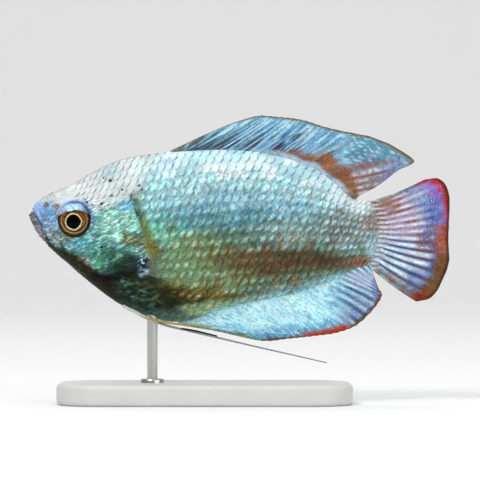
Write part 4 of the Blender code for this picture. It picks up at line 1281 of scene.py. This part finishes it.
ANAL_MARGIN = [(0.0, 28.7, -18.15), (0.06, 35.3, -19.2), (0.12, 40.1, -20.3), (0.20, 44.3, -21.1),
               (0.32, 49.2, -20.7), (0.45, 54.0, -20.2), (0.58, 59.1, -19.4), (0.68, 62.7, -17.8),
               (0.757, 65.7, -14.8), (0.82, 67.0, -12.7), (0.92, 66.3, -10.9), (1.0, 65.4, -8.4)]
ANAL_RAYS, ANAL_SPINES = 31, 17
TAIL_TOP, TAIL_BOTTOM = 5.7, -7.3
TAIL_TIPS = [(75.2, 9.6), (77.3, 9.88), (78.8, 9.1), (79.6, 7.6), (79.92, 5.9), (79.92, 4.1), (79.8, 2.3),
             (79.75, 0.5), (79.65, -1.4), (79.7, -3.4), (79.8, -5.4), (79.4, -7.4), (78.6, -9.3),
             (77.5, -11.55), (75.9, -13.1), (73.6, -13.6)]
TAIL_RAYS = 16
WEB_COLUMNS, WEB_ROWS, WEB_HALF = 8, 64, 0.085
ROOT_SUNK = 0.7
SIDEWAYS = np.array([0.0, 1.0, 0.0])


def margin_points(shares, *stretches):
    """Tips at the given shares of the base, read from margin stretches that meet at corners."""
    tips = []
    for share in shares:
        at, *places = zip(*next(stretch for stretch in stretches if share <= stretch[-1][0]))
        tips.append([smooth(list(zip(at, values)))(share) for values in places])
    return np.array(tips, float)


class Fin:
    """A fin from its rays' roots and tips, as (distance, sideways, height)."""

    def __init__(self, roots, tips, bows, facing, notch, spines=0):
        self.roots, self.tips, self.bows, self.facing = roots, tips, bows, facing
        self.notch, self.spines = notch, spines

    def at(self, ray, share):
        """The place at a share of a ray's length. The ray may be a fraction, between two rays."""
        lower = np.clip(np.floor(ray).astype(int), 0, len(self.roots) - 2)
        t = (ray - lower)[..., None]

        def flowing(values):
            # Between rays the edge bends, but stays within the two tips' reach
            run = np.diff(values, axis=0)
            same = run[:-1] * run[1:] > 0
            slope = np.concatenate([run[:1], np.zeros_like(run[:-1]), run[-1:]])
            slope[1:-1][same] = (2 * run[:-1] * run[1:])[same] / (run[:-1] + run[1:])[same]
            return eased(t, values[lower], values[lower + 1], slope[lower], slope[lower + 1])

        pull = self.notch * np.sin(math.pi * np.clip(t, 0, 1)) * share[..., None] ** 6
        long = share[..., None] * (1 - pull)
        straight = flowing(self.roots) * (1 - long) + flowing(self.tips) * long
        return straight + flowing(self.bows) * 4 * long * (1 - long)


def web(name, fin, paint, finish, *nodes, slot="fin", half=WEB_HALF):
    """The fin's thin web, thicker at its root, closed round its edges."""
    count = (len(fin.roots) - 1) * WEB_COLUMNS + 1
    ray, share = np.meshgrid(np.arange(count) / WEB_COLUMNS, np.linspace(0, 1, WEB_ROWS), indexing="ij")
    thick = half * (1.9 - 0.9 * step(0, 0.35, share)) * (1 - 0.55 * step(0.9, 1.0, share))
    ripple = 0.06 * noise(joined(ray * 1.3, share * 9.0, 0.0), 1.0, 31)
    sheet = fin.at(ray, share) + fin.facing * (ripple * share)[..., None]
    points = np.concatenate([(sheet + s * thick[..., None] * fin.facing).reshape(-1, 3) for s in (1, -1)])
    layer = count * WEB_ROWS
    near = ring_faces(count, WEB_ROWS, closed=False)
    faces = near + [tuple(layer + v for v in reversed(face)) for face in near]
    rim = rim_of(count, WEB_ROWS)
    faces += wall(rim, [layer + v for v in rim])
    mesh = shell(name, to_frame(points), faces, 60)
    tint = paint(sheet[..., 0], sheet[..., 2], ray, share, 0.0 * ray).reshape(-1, 3)
    give(mesh, tint=np.concatenate([tint, tint]))
    flat = joined(ray / ray.max(), share).reshape(-1, 2)
    give_bake_map(mesh, np.concatenate([flat * (0.98, 0.48) + (0.01, 0.01 + 0.5 * i) for i in range(2)]))
    finish_piece(add(name, mesh, finish), slot, *nodes)


def ray_tree():
    """Round tapered rays along the edges of a mesh that carries each point's radius."""
    t = Tree("grow_rays", Material="Material", Sides="Int")
    curves = t.made("MeshToCurve", {"Mesh": t.start["Geometry"]})
    circle = t.made("CurvePrimitiveCircle", {"Resolution": t.start["Sides"], "Radius": 1.0}, "Curve")
    tubes = t.made("CurveToMesh", {"Curve": curves, "Profile Curve": circle, "Fill Caps": True,
                                   "Scale": t.named("thick", "FLOAT")})
    return t.close(t.made("SetShadeSmooth", {"Geometry": tubes}), t.start["Material"])


def threads(name, lines, radii, tints, finish, tree, slot, *nodes, sides=8):
    """One mesh of round threads, each a line of points with its radius and colour there."""
    edges, start = [], 0
    for line in lines:
        edges += [(start + i, start + i + 1) for i in range(len(line) - 1)]
        start += len(line)
    mesh = new_mesh(name, to_frame(np.concatenate(lines)), [], edges)
    give(mesh, thick=np.concatenate(radii) * MM, tint=np.concatenate(tints))
    made = Tree.run(add(name, mesh), tree, name, finish, Material=finish, Sides=sides)
    face_out(made.data)
    finish_piece(made, slot, *nodes)


def ray_threads(name, fin, paint, finish, tree, thick, slot="fin"):
    """The fin's rays. Spines are single and smooth, soft rays are jointed and fork near the margin."""
    lines, radii, tints = [], [], []
    share = np.linspace(0, 1, 46)
    last = len(fin.roots) - 1
    for ray in range(last + 1):
        spine = ray < fin.spines
        for fork in (0.0,) if spine else (-0.2, 0.2):
            spread = np.clip(ray + fork * step(0.45, 1.0, share) + 0.02 * np.sign(fork), 0, last)
            line = fin.at(spread, share * (0.994 if spine else 0.985))
            girth = thick * (1 - 0.84 * share ** 0.9) * (1.0 if spine else 0.82)
            joint = (np.sin(share * 2 * math.pi * 17) > 0.55) * step(0.15, 0.3, share)
            lines.append(line)
            radii.append(girth * (1 if spine else 1 - 0.13 * joint))
            tints.append(paint(line[:, 0], line[:, 2], spread, share, 1.0 + 0 * share))
    threads(name, lines, radii, tints, finish, tree, slot)


def median_fin(base, shares, tips, edge, sink, bow, ripple, notch, spines):
    """A fin on the body's edge, with its roots sunk into the skin."""
    distance = base[0] + (base[1] - base[0]) * shares
    wave = ripple * np.sin(shares * 2 * math.pi * 1.5 + 0.6)
    roots, tips = joined(distance, 0.0, edge(distance) + sink), joined(tips[:, 0], wave, tips[:, 1])
    return Fin(roots, tips, joined(0.0, wave / 2, bow), SIDEWAYS, notch, spines)


def dorsal_shape():
    front = np.linspace(0, DORSAL_SOFT_FROM, DORSAL_SPINES)
    soft = np.linspace(DORSAL_SOFT_FROM, DORSAL_TIP_AT, 6)[1:]
    shares = np.array([*front, *soft, *DORSAL_REAR_RAYS])
    tips = margin_points(shares, DORSAL_FRONT, DORSAL_REAR)
    return median_fin(DORSAL_BASE, shares, tips, back, -ROOT_SUNK, -0.25, 0.35, 0.008, DORSAL_SPINES)


def anal_shape():
    shares = np.linspace(0, 1, ANAL_RAYS)
    tips = margin_points(shares, ANAL_MARGIN)
    return median_fin(ANAL_BASE, shares, tips, belly, ROOT_SUNK, 0.2, 0.25, 0.01, ANAL_SPINES)


def tail_shape():
    shares = np.linspace(0, 1, TAIL_RAYS)
    heights = TAIL_TOP + (TAIL_BOTTOM - TAIL_TOP) * shares
    wave = 0.5 * np.sin(shares * 2 * math.pi + 0.4)
    tip_d, tip_h = np.array(TAIL_TIPS).T
    return Fin(joined(tail_edge(heights) - ROOT_SUNK, 0.0, heights * 0.97), joined(tip_d, wave, tip_h),
               joined(0.0, wave / 2, -0.3), SIDEWAYS, 0.002)


def streaks(ray, share, seed, width=0.4, length=0.3):
    """Noise drawn out along the rays. Its width is in rays, its length a share of theirs."""
    return noise(joined(ray / width, share / length, 0.0), 1.0, seed)


def between_rays(ray):
    """0 on a ray and 1 midway between two."""
    return 1 - np.abs(1 - 2 * (ray % 1))


DORSAL_BLOTCHES = [(31.6, 15.5, 0.8), (33.9, 15.8, 0.9), (36.3, 16.1, 1.0), (38.7, 16.3, 1.1),
                   (42.4, 16.3, 1.45), (47.0, 15.7, 1.25), (50.6, 17.6, 0.9)]
DORSAL_RUST = [(50.6, 14.3, 3.0, 0.55, -8), (53.8, 13.8, 3.4, 1.1, -10), (56.8, 12.7, 3.2, 1.8, -30),
               (59.2, 10.7, 3.2, 1.7, -50), (60.8, 8.2, 3.2, 1.3, -65)]


def dorsal_colour(d, h, ray, share, is_ray):
    """Blue with pale and dark streaks, blotches over the back, a rust patch and a barred soft rear."""
    c = Coat("fin blue", d, h)
    cloud, grain = c.noise(2.2, 41), c.noise(0.5, 47)
    long, thin = streaks(ray, share, 43, 0.6), streaks(ray, share, 45, 0.22, 0.3)
    web_only, between = 1 - is_ray, between_rays(ray)
    soft = step(57.5, 62.5, d + 0.8 * cloud)
    c.wash("fin sky", 0.7 * step(-0.4, 0.4, cloud) + 0.5 * step(0.35, 0.75, share))
    c.wash("fin mist", 0.5 * step(46.0, 52.0, d) * step(-0.5, 0.4, long) * (1 - soft))
    inks = between * step(0.15, -0.35, long) * step(0.95, 0.5, share)
    c.wash("fin ink", 0.85 * inks * (1 - 0.6 * soft) * web_only)
    c.wash("ice", 0.75 * step(0.12, 0.5, thin) * (1 - 0.75 * soft))
    # The rays washed pale as painted highlight along them
    c.wash("ice", is_ray * (0.6 - 0.35 * soft) * step(-0.6, 0.2, long))
    # Green streaks in the front, and an olive line along the leading spine
    front = step(46.0, 38.0, d) * step(9.0, 3.0, ray)
    c.wash("fin moss", 0.4 * front * step(-0.2, 0.3, -long - 0.4 * thin))
    c.wash("fin ink", 0.8 * front * step(0.0, 0.35, -thin))
    c.wash("fin olive", 0.75 * step(43.0, 39.0, d) * step(1.4, 0.3, ray + 0.8 * thin))
    for at, up, size in DORSAL_BLOTCHES:
        c.wash("blotch", 0.85 * zone(d + 0.2 * grain, h, at, up, 1.5 * size, 0.55 * size, 34, 0.8) * web_only)
    # The pale-spotted soft part, the barred rear, its violet edge, and the rust patch
    c.wash("soft teal", 0.75 * soft * step(10.5, 13.0, h))
    c.wash("soft mauve", 0.85 * soft * step(13.0, 10.5, h + 0.5 * cloud))
    dots = np.cos(3 * math.pi * ray + 1.6 * cloud) * np.cos(22 * math.pi * share + 1.6 * cloud) + 0.9 * grain
    c.wash("ice", 0.75 * soft * step(0.35, 0.8, dots) * step(10.0, 12.5, h) * web_only)
    bars = zone(d + 0.5 * cloud, h + 0.4 * grain, 64.4, 9.8, 6.6, 3.6, 24, 0.8)
    c.wash("bar pale", 0.8 * bars * step(0.65, 0.25, between) * step(-0.5, 0.2, grain))
    dark = bars * step(0.35, 0.7, between + 0.3 * grain) * web_only
    c.wash("bar brown", 0.9 * dark * step(0.5, -0.1, thin))
    c.wash("fin ink", 0.4 * bars * step(0.1, 0.5, thin) * web_only)
    patch = np.max([zone(d + 0.4 * cloud, h + 0.5 * long, *oval, 0.8) for oval in DORSAL_RUST], axis=0)
    patch = patch * (0.72 + 0.28 * step(-0.5, 0.1, grain + 0.4 * thin))
    c.wash("rust gold", 0.9 * patch)
    c.wash("rust brown", 0.7 * patch * step(0.0, 0.5, c.noise(0.9, 49)))
    ember = zone(d, h, 57.8, 11.7, 2.8, 1.1, -42)
    c.wash("orange", 0.75 * ember * step(0.0, 0.4, grain))
    c.wash("brown", 0.5 * patch * step(0.2, -0.4, thin))
    foot = h - back(np.clip(d, 0, BODY_END)) + 0.25 * thin
    foot = step(1.2, 0.3, foot + 0.4 * cloud) * step(40.0, 46.0, d) * step(62.0, 59.0, d)
    c.wash("stalk blue", 0.75 * foot)
    c.wash("rear violet", 0.75 * step(0.8, 0.98, share + 0.05 * long) * step(19.9, 21.0, ray))
    c.wash("violet grey", 0.6 * zone(d, h, 69.5, 12.4, 3.0, 1.3, 32))
    edge = step(21.0, 20.0, ray)
    c.wash("fin olive", 0.75 * step(0.93, 0.985, share + 0.05 * long) * edge * step(0.5, 2.0, ray))
    c.wash("brown", 0.8 * step(0.965, 0.99, share + 0.015 * thin) * edge * step(0.0, 1.0, ray))
    return c.mottled(0.2 * long + 0.16 * grain)


def anal_colour(d, h, ray, share, is_ray):
    """Pale sky blue, deeper below and greyer behind, with an olive, brown and flame red margin."""
    c = Coat("anal sky", d, h)
    cloud, grain, fleck = c.noise(2.0, 51), c.noise(0.45, 55), c.noise(0.28, 59)
    long, thin = streaks(ray, share, 53, 0.8), streaks(ray, share, 57, 0.3, 0.08)
    web_only, between = 1 - is_ray, between_rays(ray)
    rear = step(56.0, 62.0, d + 0.6 * cloud)
    c.wash("anal mid", 0.7 * step(0.0, 0.7, cloud + 0.5 * grain))
    c.wash("anal deep", 0.6 * step(0.1, 0.5, -thin - 0.3 * grain))
    low = step(0.6, 0.9, share + 0.08 * long) * (1 - rear)
    c.wash("anal deep", 0.75 * low)
    c.wash("fin ink", 0.55 * low * step(0.1, 0.5, grain) * step(0.75, 0.88, share + 0.05 * thin))
    c.wash("glint", 0.8 * step(0.15, 0.5, thin + 0.5 * fleck) * (1 - 0.4 * rear))
    c.wash("glint", 0.4 * zone(d, h, 47.5, -15.4, 8.5, 2.6, 12))
    c.wash("cornflower", 0.45 * low * step(0.1, 0.5, c.noise(0.7, 54)))
    c.wash("anal rear", 0.7 * rear)
    dark = rear + 0.25 * step(0.55, 0.8, share)
    c.wash("fin ink", 0.85 * dark * step(0.4, 0.7, between + 0.2 * grain) * step(-0.6, 0.0, long) * web_only)
    c.wash("glint", 0.7 * rear * step(0.5, 0.2, between) * step(-0.8, 0.0, -cloud))
    c.wash("violet grey", 0.5 * zone(d, h, 62.4, -15.0, 4.4, 2.4, 50, 0.8))
    c.wash("lilac", 0.6 * zone(d, h, 63.6, -9.2, 3.0, 1.8, 0, 0.8))
    c.wash("lid violet", 0.7 * zone(d, h, 66.0, -11.0, 0.9, 2.8, 0, 0.8))
    # Body colour fades out over the fin's root in fine streaks
    reach = belly(np.clip(d, 0, BODY_END)) - h
    fringe = 1.0 + 0.8 * streaks(ray, share, 58, 0.3, 0.5) + 0.6 * cloud + 0.8 * grain
    fade = step(fringe + 0.6, fringe - 1.4, reach) * step(62.0, 57.0, d)
    c.wash("belly pale", 0.2 * fade)
    c.wash("moss", 0.3 * fade * step(0.1, 0.5, grain))
    c.wash("glint", 0.6 * fade * step(0.1, 0.5, fleck))
    # Margin: olive in front, then brown, flame red and brown again
    olive, flame = step(45.0, 40.0, d), step(50.5, 54.0, d) * step(61.5, 59.8, d)
    hem = share + 0.03 * long + 0.02 * thin
    c.wash("fin moss", 0.75 * olive * step(0.7, 0.9, hem))
    c.wash("gill olive", 0.8 * olive * step(0.86, 0.95, hem))
    c.wash("brown", 0.85 * (1 - olive) * (1 - flame) * step(0.91, 0.97, hem))
    c.wash("rust brown", 0.85 * flame * step(0.85, 0.91, hem))
    c.wash("flame", 0.95 * flame * step(0.905, 0.945, hem))
    c.wash("bar maroon", 0.85 * step(65.2, 66.2, d) * step(0.88, 0.97, hem))
    c.wash("brown", 0.85 * step(0.965, 0.995, share))
    return c.mottled(0.1 * long + 0.14 * grain)


def tail_colour(d, h, ray, share, is_ray):
    """White rays and dark webs near the root, a mottled blue field, and a red to olive margin."""
    c = Coat("tail blue", d, h)
    cloud, grain, blot = c.noise(2.0, 61), c.noise(0.4, 69), c.noise(0.8, 71)
    long, thin = streaks(ray, share, 63, 0.7, 0.1), streaks(ray, share, 65, 0.25, 0.2)
    web_only, between = 1 - is_ray, between_rays(ray)
    # Distance from the margin, drawn out into streaks along the rays
    away = (1 - share) * (11 + 2.4 * np.sin(math.pi * ray / (TAIL_RAYS - 1)))
    fray = away + 0.45 * thin + 0.2 * grain
    high = step(9.5, 7.0, ray)
    inner = step(4.4, 7.0, away + 0.8 * cloud + 1.6 * step(8.0, 9.5, ray) * step(12.4, 11.4, ray))
    c.wash("stalk blue", 0.4 * inner * (1 - high) * step(0.75, 0.4, between))
    c.wash("cornflower", 0.9 * (1 - inner) * (0.6 + 0.4 * step(-0.4, 0.2, blot)))
    c.wash("indigo", 0.6 * (1 - inner) * step(0.0, 0.5, blot) * step(3.0, 4.5, ray))
    bars = np.sin(2 * math.pi * (share * 26 + 0.4 * cloud))
    c.wash("crescent", 0.6 * (1 - inner) * step(0.0, 0.6, bars) * step(-0.1, 0.4, thin))
    c.wash("lilac", 0.5 * zone(d, h, 74.6, 7.4, 2.6, 1.4, 30))
    # Rays and webs
    c.wash("bar pale", (0.3 + 0.55 * inner) * step(0.7, 0.35, between) * step(2.0, 4.5, away))
    c.wash("glint", 0.7 * inner * step(0.5, 0.15, between) * step(-0.3, 0.3, long))
    c.wash("tail pink", 0.6 * inner * high * step(0.1, 0.6, between + 0.4 * long))
    dark = step(0.52, 0.8, between + 0.25 * grain) * step(-0.15, 0.3, long + 0.7 * (1 - high)) * web_only
    dark = dark * step(1.4, 3.0, away)
    c.wash("bar maroon", 0.85 * (0.5 + 0.5 * inner) * dark * high)
    c.wash("fin ink", 0.75 * dark * (1 - high))
    c.wash("bar maroon", 0.5 * dark * (1 - high) * step(-0.3, 0.3, cloud))
    c.wash("rust gold", 0.8 * zone(d, h, 68.2, 4.4, 2.2, 2.0, 20) * step(-0.9, 0.0, long))
    c.wash("tail mauve", 0.8 * zone(d, h, 76.0, -2.4, 2.6, 2.2) * step(0.5, -0.2, grain))
    c.wash("tail mauve", 0.5 * zone(d, h, 76.4, 0.6, 2.0, 1.2) * step(0.3, -0.4, blot))
    c.wash("moss grey", 0.7 * step(13.2, 14.4, ray + 0.3 * thin) * step(2.0, 3.5, away))
    c.wash("bar maroon", 0.6 * step(13.2, 14.4, ray) * step(0.1, 0.5, blot) * step(2.0, 3.5, away))
    c.wash("moss grey", 0.5 * step(1.4, 0.4, ray + 0.3 * thin) * step(3.0, 5.0, away))
    # Margin
    upper, middle = step(6.6, 5.0, ray), step(5.6, 7.2, ray) * step(11.6, 9.4, ray)
    streaky = away + 1.0 * thin + 0.3 * grain
    c.wash("magenta", 0.62 * step(4.2, 1.4, fray + 0.4 * cloud) * step(4.8, 2.8, ray))
    violet = step(3.0, 1.2, fray + 0.3 * cloud) * step(2.6, 4.0, ray) * step(7.4, 5.8, ray)
    c.wash("tail violet", 0.7 * violet)
    c.wash("tail orange", 0.92 * middle * step(4.6, 1.4, streaky + 0.4 * cloud + 0.3 * np.abs(ray - 8.0)))
    c.wash("tail flame", 0.6 * middle * step(2.0, 0.8, streaky) * step(8.6, 7.0, ray))
    c.wash("tail olive", 0.97 * step(8.8, 10.4, ray) * step(3.8, 1.9, streaky + 0.3 * cloud))
    c.wash("olive", 0.15 * step(9.6, 10.6, ray) * step(2.8, 1.2, away) * step(0.1, 0.5, thin))
    c.wash("red", 0.97 * upper * step(1.9, 0.7, fray))
    c.wash("red", 0.9 * step(1.3, 0.4, ray + 0.2 * thin) * step(3.4, 1.6, fray))
    c.wash("tail flame", 0.95 * step(12.8, 14.2, ray) * step(2.8, 1.2, streaky))
    c.wash("tail edge", 0.85 * step(0.75, 0.35, away + 0.12 * grain))
    c.wash("tail edge", 0.7 * step(0.34, 0.05, ray) * step(7.0, 3.0, away))
    # The body's colours run onto the root
    root = body_colour(np.clip(d, 0, 66.8), h, -1)
    c.blend(root, step(0.1, 0.03, share + 0.05 * long))
    return c.mottled(0.15 * long + 0.16 * grain)


PECTORAL_ROOT = ((22.5, -6.3), (23.1, -8.5))
PECTORAL_ANGLES, PECTORAL_LENGTHS, PECTORAL_STANDS_OFF = (44.0, -16.0), (8.2, 3.9), 14.0
PECTORAL_RAYS = 11


def pectoral_shape(side):
    shares = np.linspace(0, 1, PECTORAL_RAYS)
    d, h = (first + (last - first) * shares for first, last in zip(*PECTORAL_ROOT))
    y = np.abs(body_surface(d, angle_at(d, h, side))[:, 1]) + 0.15
    angles = np.radians(PECTORAL_ANGLES[0] + (PECTORAL_ANGLES[1] - PECTORAL_ANGLES[0]) * shares)
    lengths = PECTORAL_LENGTHS[0] + PECTORAL_LENGTHS[1] * np.sin(math.pi * shares ** 0.85)
    off = math.radians(PECTORAL_STANDS_OFF)
    in_line, aside = math.cos(off), side * math.sin(off)
    roots = joined(d, side * y, h)
    reach = joined(np.cos(angles) * in_line, aside, np.sin(angles) * in_line)
    bows = joined(0 * d, side * 0.3, 0.0)
    return Fin(roots, roots + reach * lengths[:, None], bows, np.array([-aside, in_line, 0.0]), 0.02)


def pectoral_colour(d, h, ray, share, is_ray):
    c = Coat("clear olive", d)
    c.wash("silver", 0.5 * is_ray * step(0.7, 0.1, share))
    return c.mottled(0.1 * streaks(ray, share, 71, 0.8))


FEELERS = {
    "left": [(17.9, -14.4, -1.1), (19.8, -15.4, -1.4), (23.0, -16.8, -1.75), (26.4, -17.6, -1.7),
             (29.3, -17.95, -1.5), (32.7, -18.1, -1.3), (37.8, -18.5, -1.15), (42.8, -19.1, -1.1),
             (48.6, -19.7, -1.1)],
    "right": [(17.9, -14.4, 1.1), (19.8, -15.5, 1.4), (23.0, -17.1, 1.8), (26.4, -18.3, 1.9),
              (29.3, -19.0, 2.0), (32.7, -19.8, 2.1), (37.8, -21.0, 2.3), (43.3, -22.3, 2.6),
              (48.8, -23.55, 2.9), (56.6, -25.35, 3.4)],
}
# Each thread's start and end as shares of the feeler, its shift upwards and its radius
FEELER_THREADS = {"left": [(0.0, 1.0, 0.0, 0.3), (0.0, 0.16, 0.22, 0.13), (0.0, 0.11, 0.36, 0.11)]}
FEELER_THREADS["right"] = FEELER_THREADS["left"] + [(0.26, 0.47, 0.3, 0.34)]
FEELER_COLOURS = {"left": ("bone", "gold", "anal mid"), "right": ("brown", "silver", "jaw grey")}
FEELER_FADE = {"left": (0.42, 0.72), "right": (0.55, 1.1)}


def feeler(word, knots, finish, tree):
    """A pelvic fin drawn out to one thread, with fine ones at its root and, on the right, a black one that is
    painted shadow between the feelers.
    """
    knots = np.array(knots, float)[:, [0, 2, 1]]
    run = running(knots)
    axes = [smooth(list(zip(run, knots[:, i]))) for i in range(3)]
    base, middle, tip = FEELER_COLOURS[word]
    lines, radii, tints = [], [], []
    for start, end, shift, girth in FEELER_THREADS[word]:
        s = np.linspace(start, end, 90 if end == 1 else 24) * run[-1]
        share = (s - s[0]) / (s[-1] - s[0])
        line = joined(*(axis(s) for axis in axes))
        line[:, 2] += shift * step(0.0, 0.6, share)
        lines.append(line)
        radii.append(girth * (1 - 0.66 * share ** 0.8) * (step(-0.1, 0.3, share) if start > 0 else 1))
        # Threads that start part way along are black, a painted shadow between the feelers
        c = Coat("black" if start > 0 else middle, s)
        c.wash(tip, step(*FEELER_FADE[word], share) * (start == 0))
        c.wash(base, 0.7 * step(0.22, 0.08, share) * (start == 0))
        tints.append(c.colour)
    threads(f"feeler_{word}", lines, radii, tints, finish, tree, "feeler", f"pelvic_feeler_{word}", sides=10)


def fins():
    tree, satin, ribs = ray_tree(), fin_finish("fin_web"), fin_finish("fin_ray", 0.28)
    clear, clear_ribs = fin_finish("clear_web", 0.3, alpha=0.06), fin_finish("clear_ray", 0.35, alpha=0.26)
    for name, shape, paint, thick in (("dorsal", dorsal_shape(), dorsal_colour, 0.2),
                                      ("anal", anal_shape(), anal_colour, 0.1),
                                      ("tail", tail_shape(), tail_colour, 0.2)):
        web(f"{name}_web", shape, paint, satin, f"{name}_fin")
        ray_threads(f"{name}_rays", shape, paint, ribs, tree, thick)
    for word, side in SIDES.items():
        shape, node = pectoral_shape(side), f"pectoral_fin_{word}"
        web(f"pectoral_web_{word}", shape, pectoral_colour, clear, node, slot="clear_fin", half=0.05)
        ray_threads(f"pectoral_rays_{word}", shape, pectoral_colour, clear_ribs, tree, 0.075, "clear_fin")
    for word in SIDES:
        feeler(word, FEELERS[word], ribs, tree)


# Stand


def rounded_plate(low, high, corner, edge):
    """A plate with round corners and rolled edges between two corners of a box."""
    roll = np.linspace(0, math.pi / 2, 7)
    low_edge, high_edge = edge * (1 - np.sin(roll)), edge * (1 - np.cos(roll))
    inset = np.concatenate([low_edge, high_edge])[:, None]
    height = np.concatenate([low[2] + high_edge, high[2] - low_edge])[:, None]
    quarter = np.repeat(np.arange(4), 17)
    around = np.tile(np.linspace(0, math.pi / 2, 17), 4) + quarter * math.pi / 2
    ways = np.array([(1, 1), (-1, 1), (-1, -1), (1, -1)])[quarter].T
    x, y = ((high[i] + low[i]) / 2 + ways[i] * ((high[i] - low[i]) / 2 - corner) + (corner - inset) * turned
            for i, turned in enumerate((np.cos(around), np.sin(around))))
    rings = joined(x, y, height)
    count, sides = rings.shape[:2]
    ends = [tuple(range(sides)), tuple(range((count - 1) * sides, count * sides))]
    return rings.reshape(-1, 3), ring_faces(count, sides) + ends


def stand():
    """The base plate, and a steel rod with a small collar where it enters the plate."""
    low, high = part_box("stand_base")
    plate = shell("stand_plate", *rounded_plate(low, high, corner=9 * MM, edge=0.9 * MM), 40)
    finish_piece(add("stand_plate", plate, stand_finish()), "stand", "stand_base")
    rod_low, rod_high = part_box("stand_rod")
    at, radius = (rod_low + rod_high) / 2, (rod_high.x - rod_low.x) / 2
    # The pin's radii, as shares of the rod's, and the heights where it has them
    profile = [(2.2, high.z - 1.0 * MM), (2.2, high.z + 0.5 * MM), (2.1, high.z + 0.68 * MM),
               (1.9, high.z + 0.76 * MM), (1.12, high.z + 0.8 * MM), (1.0, high.z + 0.9 * MM),
               (1.0, rod_high.z - 0.25 * MM), (0.85, rod_high.z - 0.08 * MM), (0.6, rod_high.z)]
    turn = 2 * math.pi * np.arange(48) / 48
    across, along = radius * np.cos(turn), radius * np.sin(turn)
    rings = [joined(at.x + share * across, at.y + share * along, z) for share, z in profile]
    finish_piece(add("stand_pin", shell("stand_pin", *tube(rings), 30), rod_finish()), "rod", "stand_rod")


# Studio


def studio():
    """A pale floor that sweeps up into a backdrop, soft lights and even air."""
    ground = Finish("studio_ground", roughness=0.8)
    ground.paint((0.86, 0.86, 0.86, 1))
    wide, deep, bend, tall = 3.0, 0.9, 0.5, 2.2
    sweep = np.linspace(0.1, math.pi / 2, 16)
    profile = [(-1.6, 0.0), (deep, 0.0), *zip(deep + bend * np.sin(sweep), bend * (1 - np.cos(sweep)))]
    profile.append((deep + bend, tall))
    points = [(x, y, z) for x in (-wide, wide) for y, z in profile]
    mesh = new_mesh("studio_floor", points, ring_faces(2, len(profile), closed=False))
    mesh.shade_smooth()
    add("studio_floor", mesh, ground.material)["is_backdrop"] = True
    aim = Vector((0.0, 0.0, 0.03))
    for name, place, size, power in (("panel", (0.0, 0.1, 1.5), 2.2, 20.0),
                                     ("key", (-0.3, -0.62, 0.62), 0.3, 3.4),
                                     ("side", (0.6, -0.5, 0.3), 0.4, 1.6)):
        light = bpy.data.lights.new(name, "AREA")
        light.shape, light.size, light.energy = "DISK", size, power
        lamp = bpy.data.objects.new(name, light)
        lamp.location = place
        lamp.rotation_euler = (aim - Vector(place)).to_track_quat("-Z", "Y").to_euler()
        bpy.context.scene.collection.objects.link(lamp)
    world = bpy.data.worlds.new("studio_air")
    world.use_nodes = True
    air = world.node_tree.nodes["Background"].inputs
    air["Color"].default_value, air["Strength"].default_value = (1, 1, 1, 1), 0.25
    bpy.context.scene.world = world
    bpy.context.scene.view_settings.view_transform = "Standard"


# The photograph's frame is 480 pixels wide, and a pixel there is 0.19 mm on the fish
PIXEL, FRAME_PIXELS = 0.19, 480
SNOUT_PIXEL, AXIS_PIXEL = 29.2, 230.0
CAMERA_AWAY, SENSOR = 0.62, 36.0


def camera():
    lens = bpy.data.cameras.new("camera")
    lens.sensor_width = SENSOR
    lens.lens = SENSOR * CAMERA_AWAY / (FRAME_PIXELS * PIXEL * MM)
    lens.clip_start, lens.clip_end = 0.01, 20.0
    thing = bpy.data.objects.new("camera", lens)
    middle = FRAME_PIXELS / 2
    thing.location = ((SNOUT_X + (middle - SNOUT_PIXEL) * PIXEL) * MM, -CAMERA_AWAY,
                      (AXIS_Z + (AXIS_PIXEL - middle) * PIXEL) * MM)
    thing.rotation_euler = (math.pi / 2, 0, 0)
    bpy.context.scene.collection.objects.link(thing)
    bpy.context.scene.camera = thing


camera()
studio()
hide = skin()
scales(hide)
pore_spots()
finish_piece(hide, "skin", "head", "lower_jaw", "gill_cover_left", "gill_cover_right", "trunk", "tail_stalk")
eye_finish()
for word, side in SIDES.items():
    finish_piece(eye(word, side), "eye", f"eye_{word}")
fins()
stand()

boxes = {"cad": cad_box, "visual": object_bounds()}
{key: [list(corner) for corner in box] for key, box in boxes.items()}
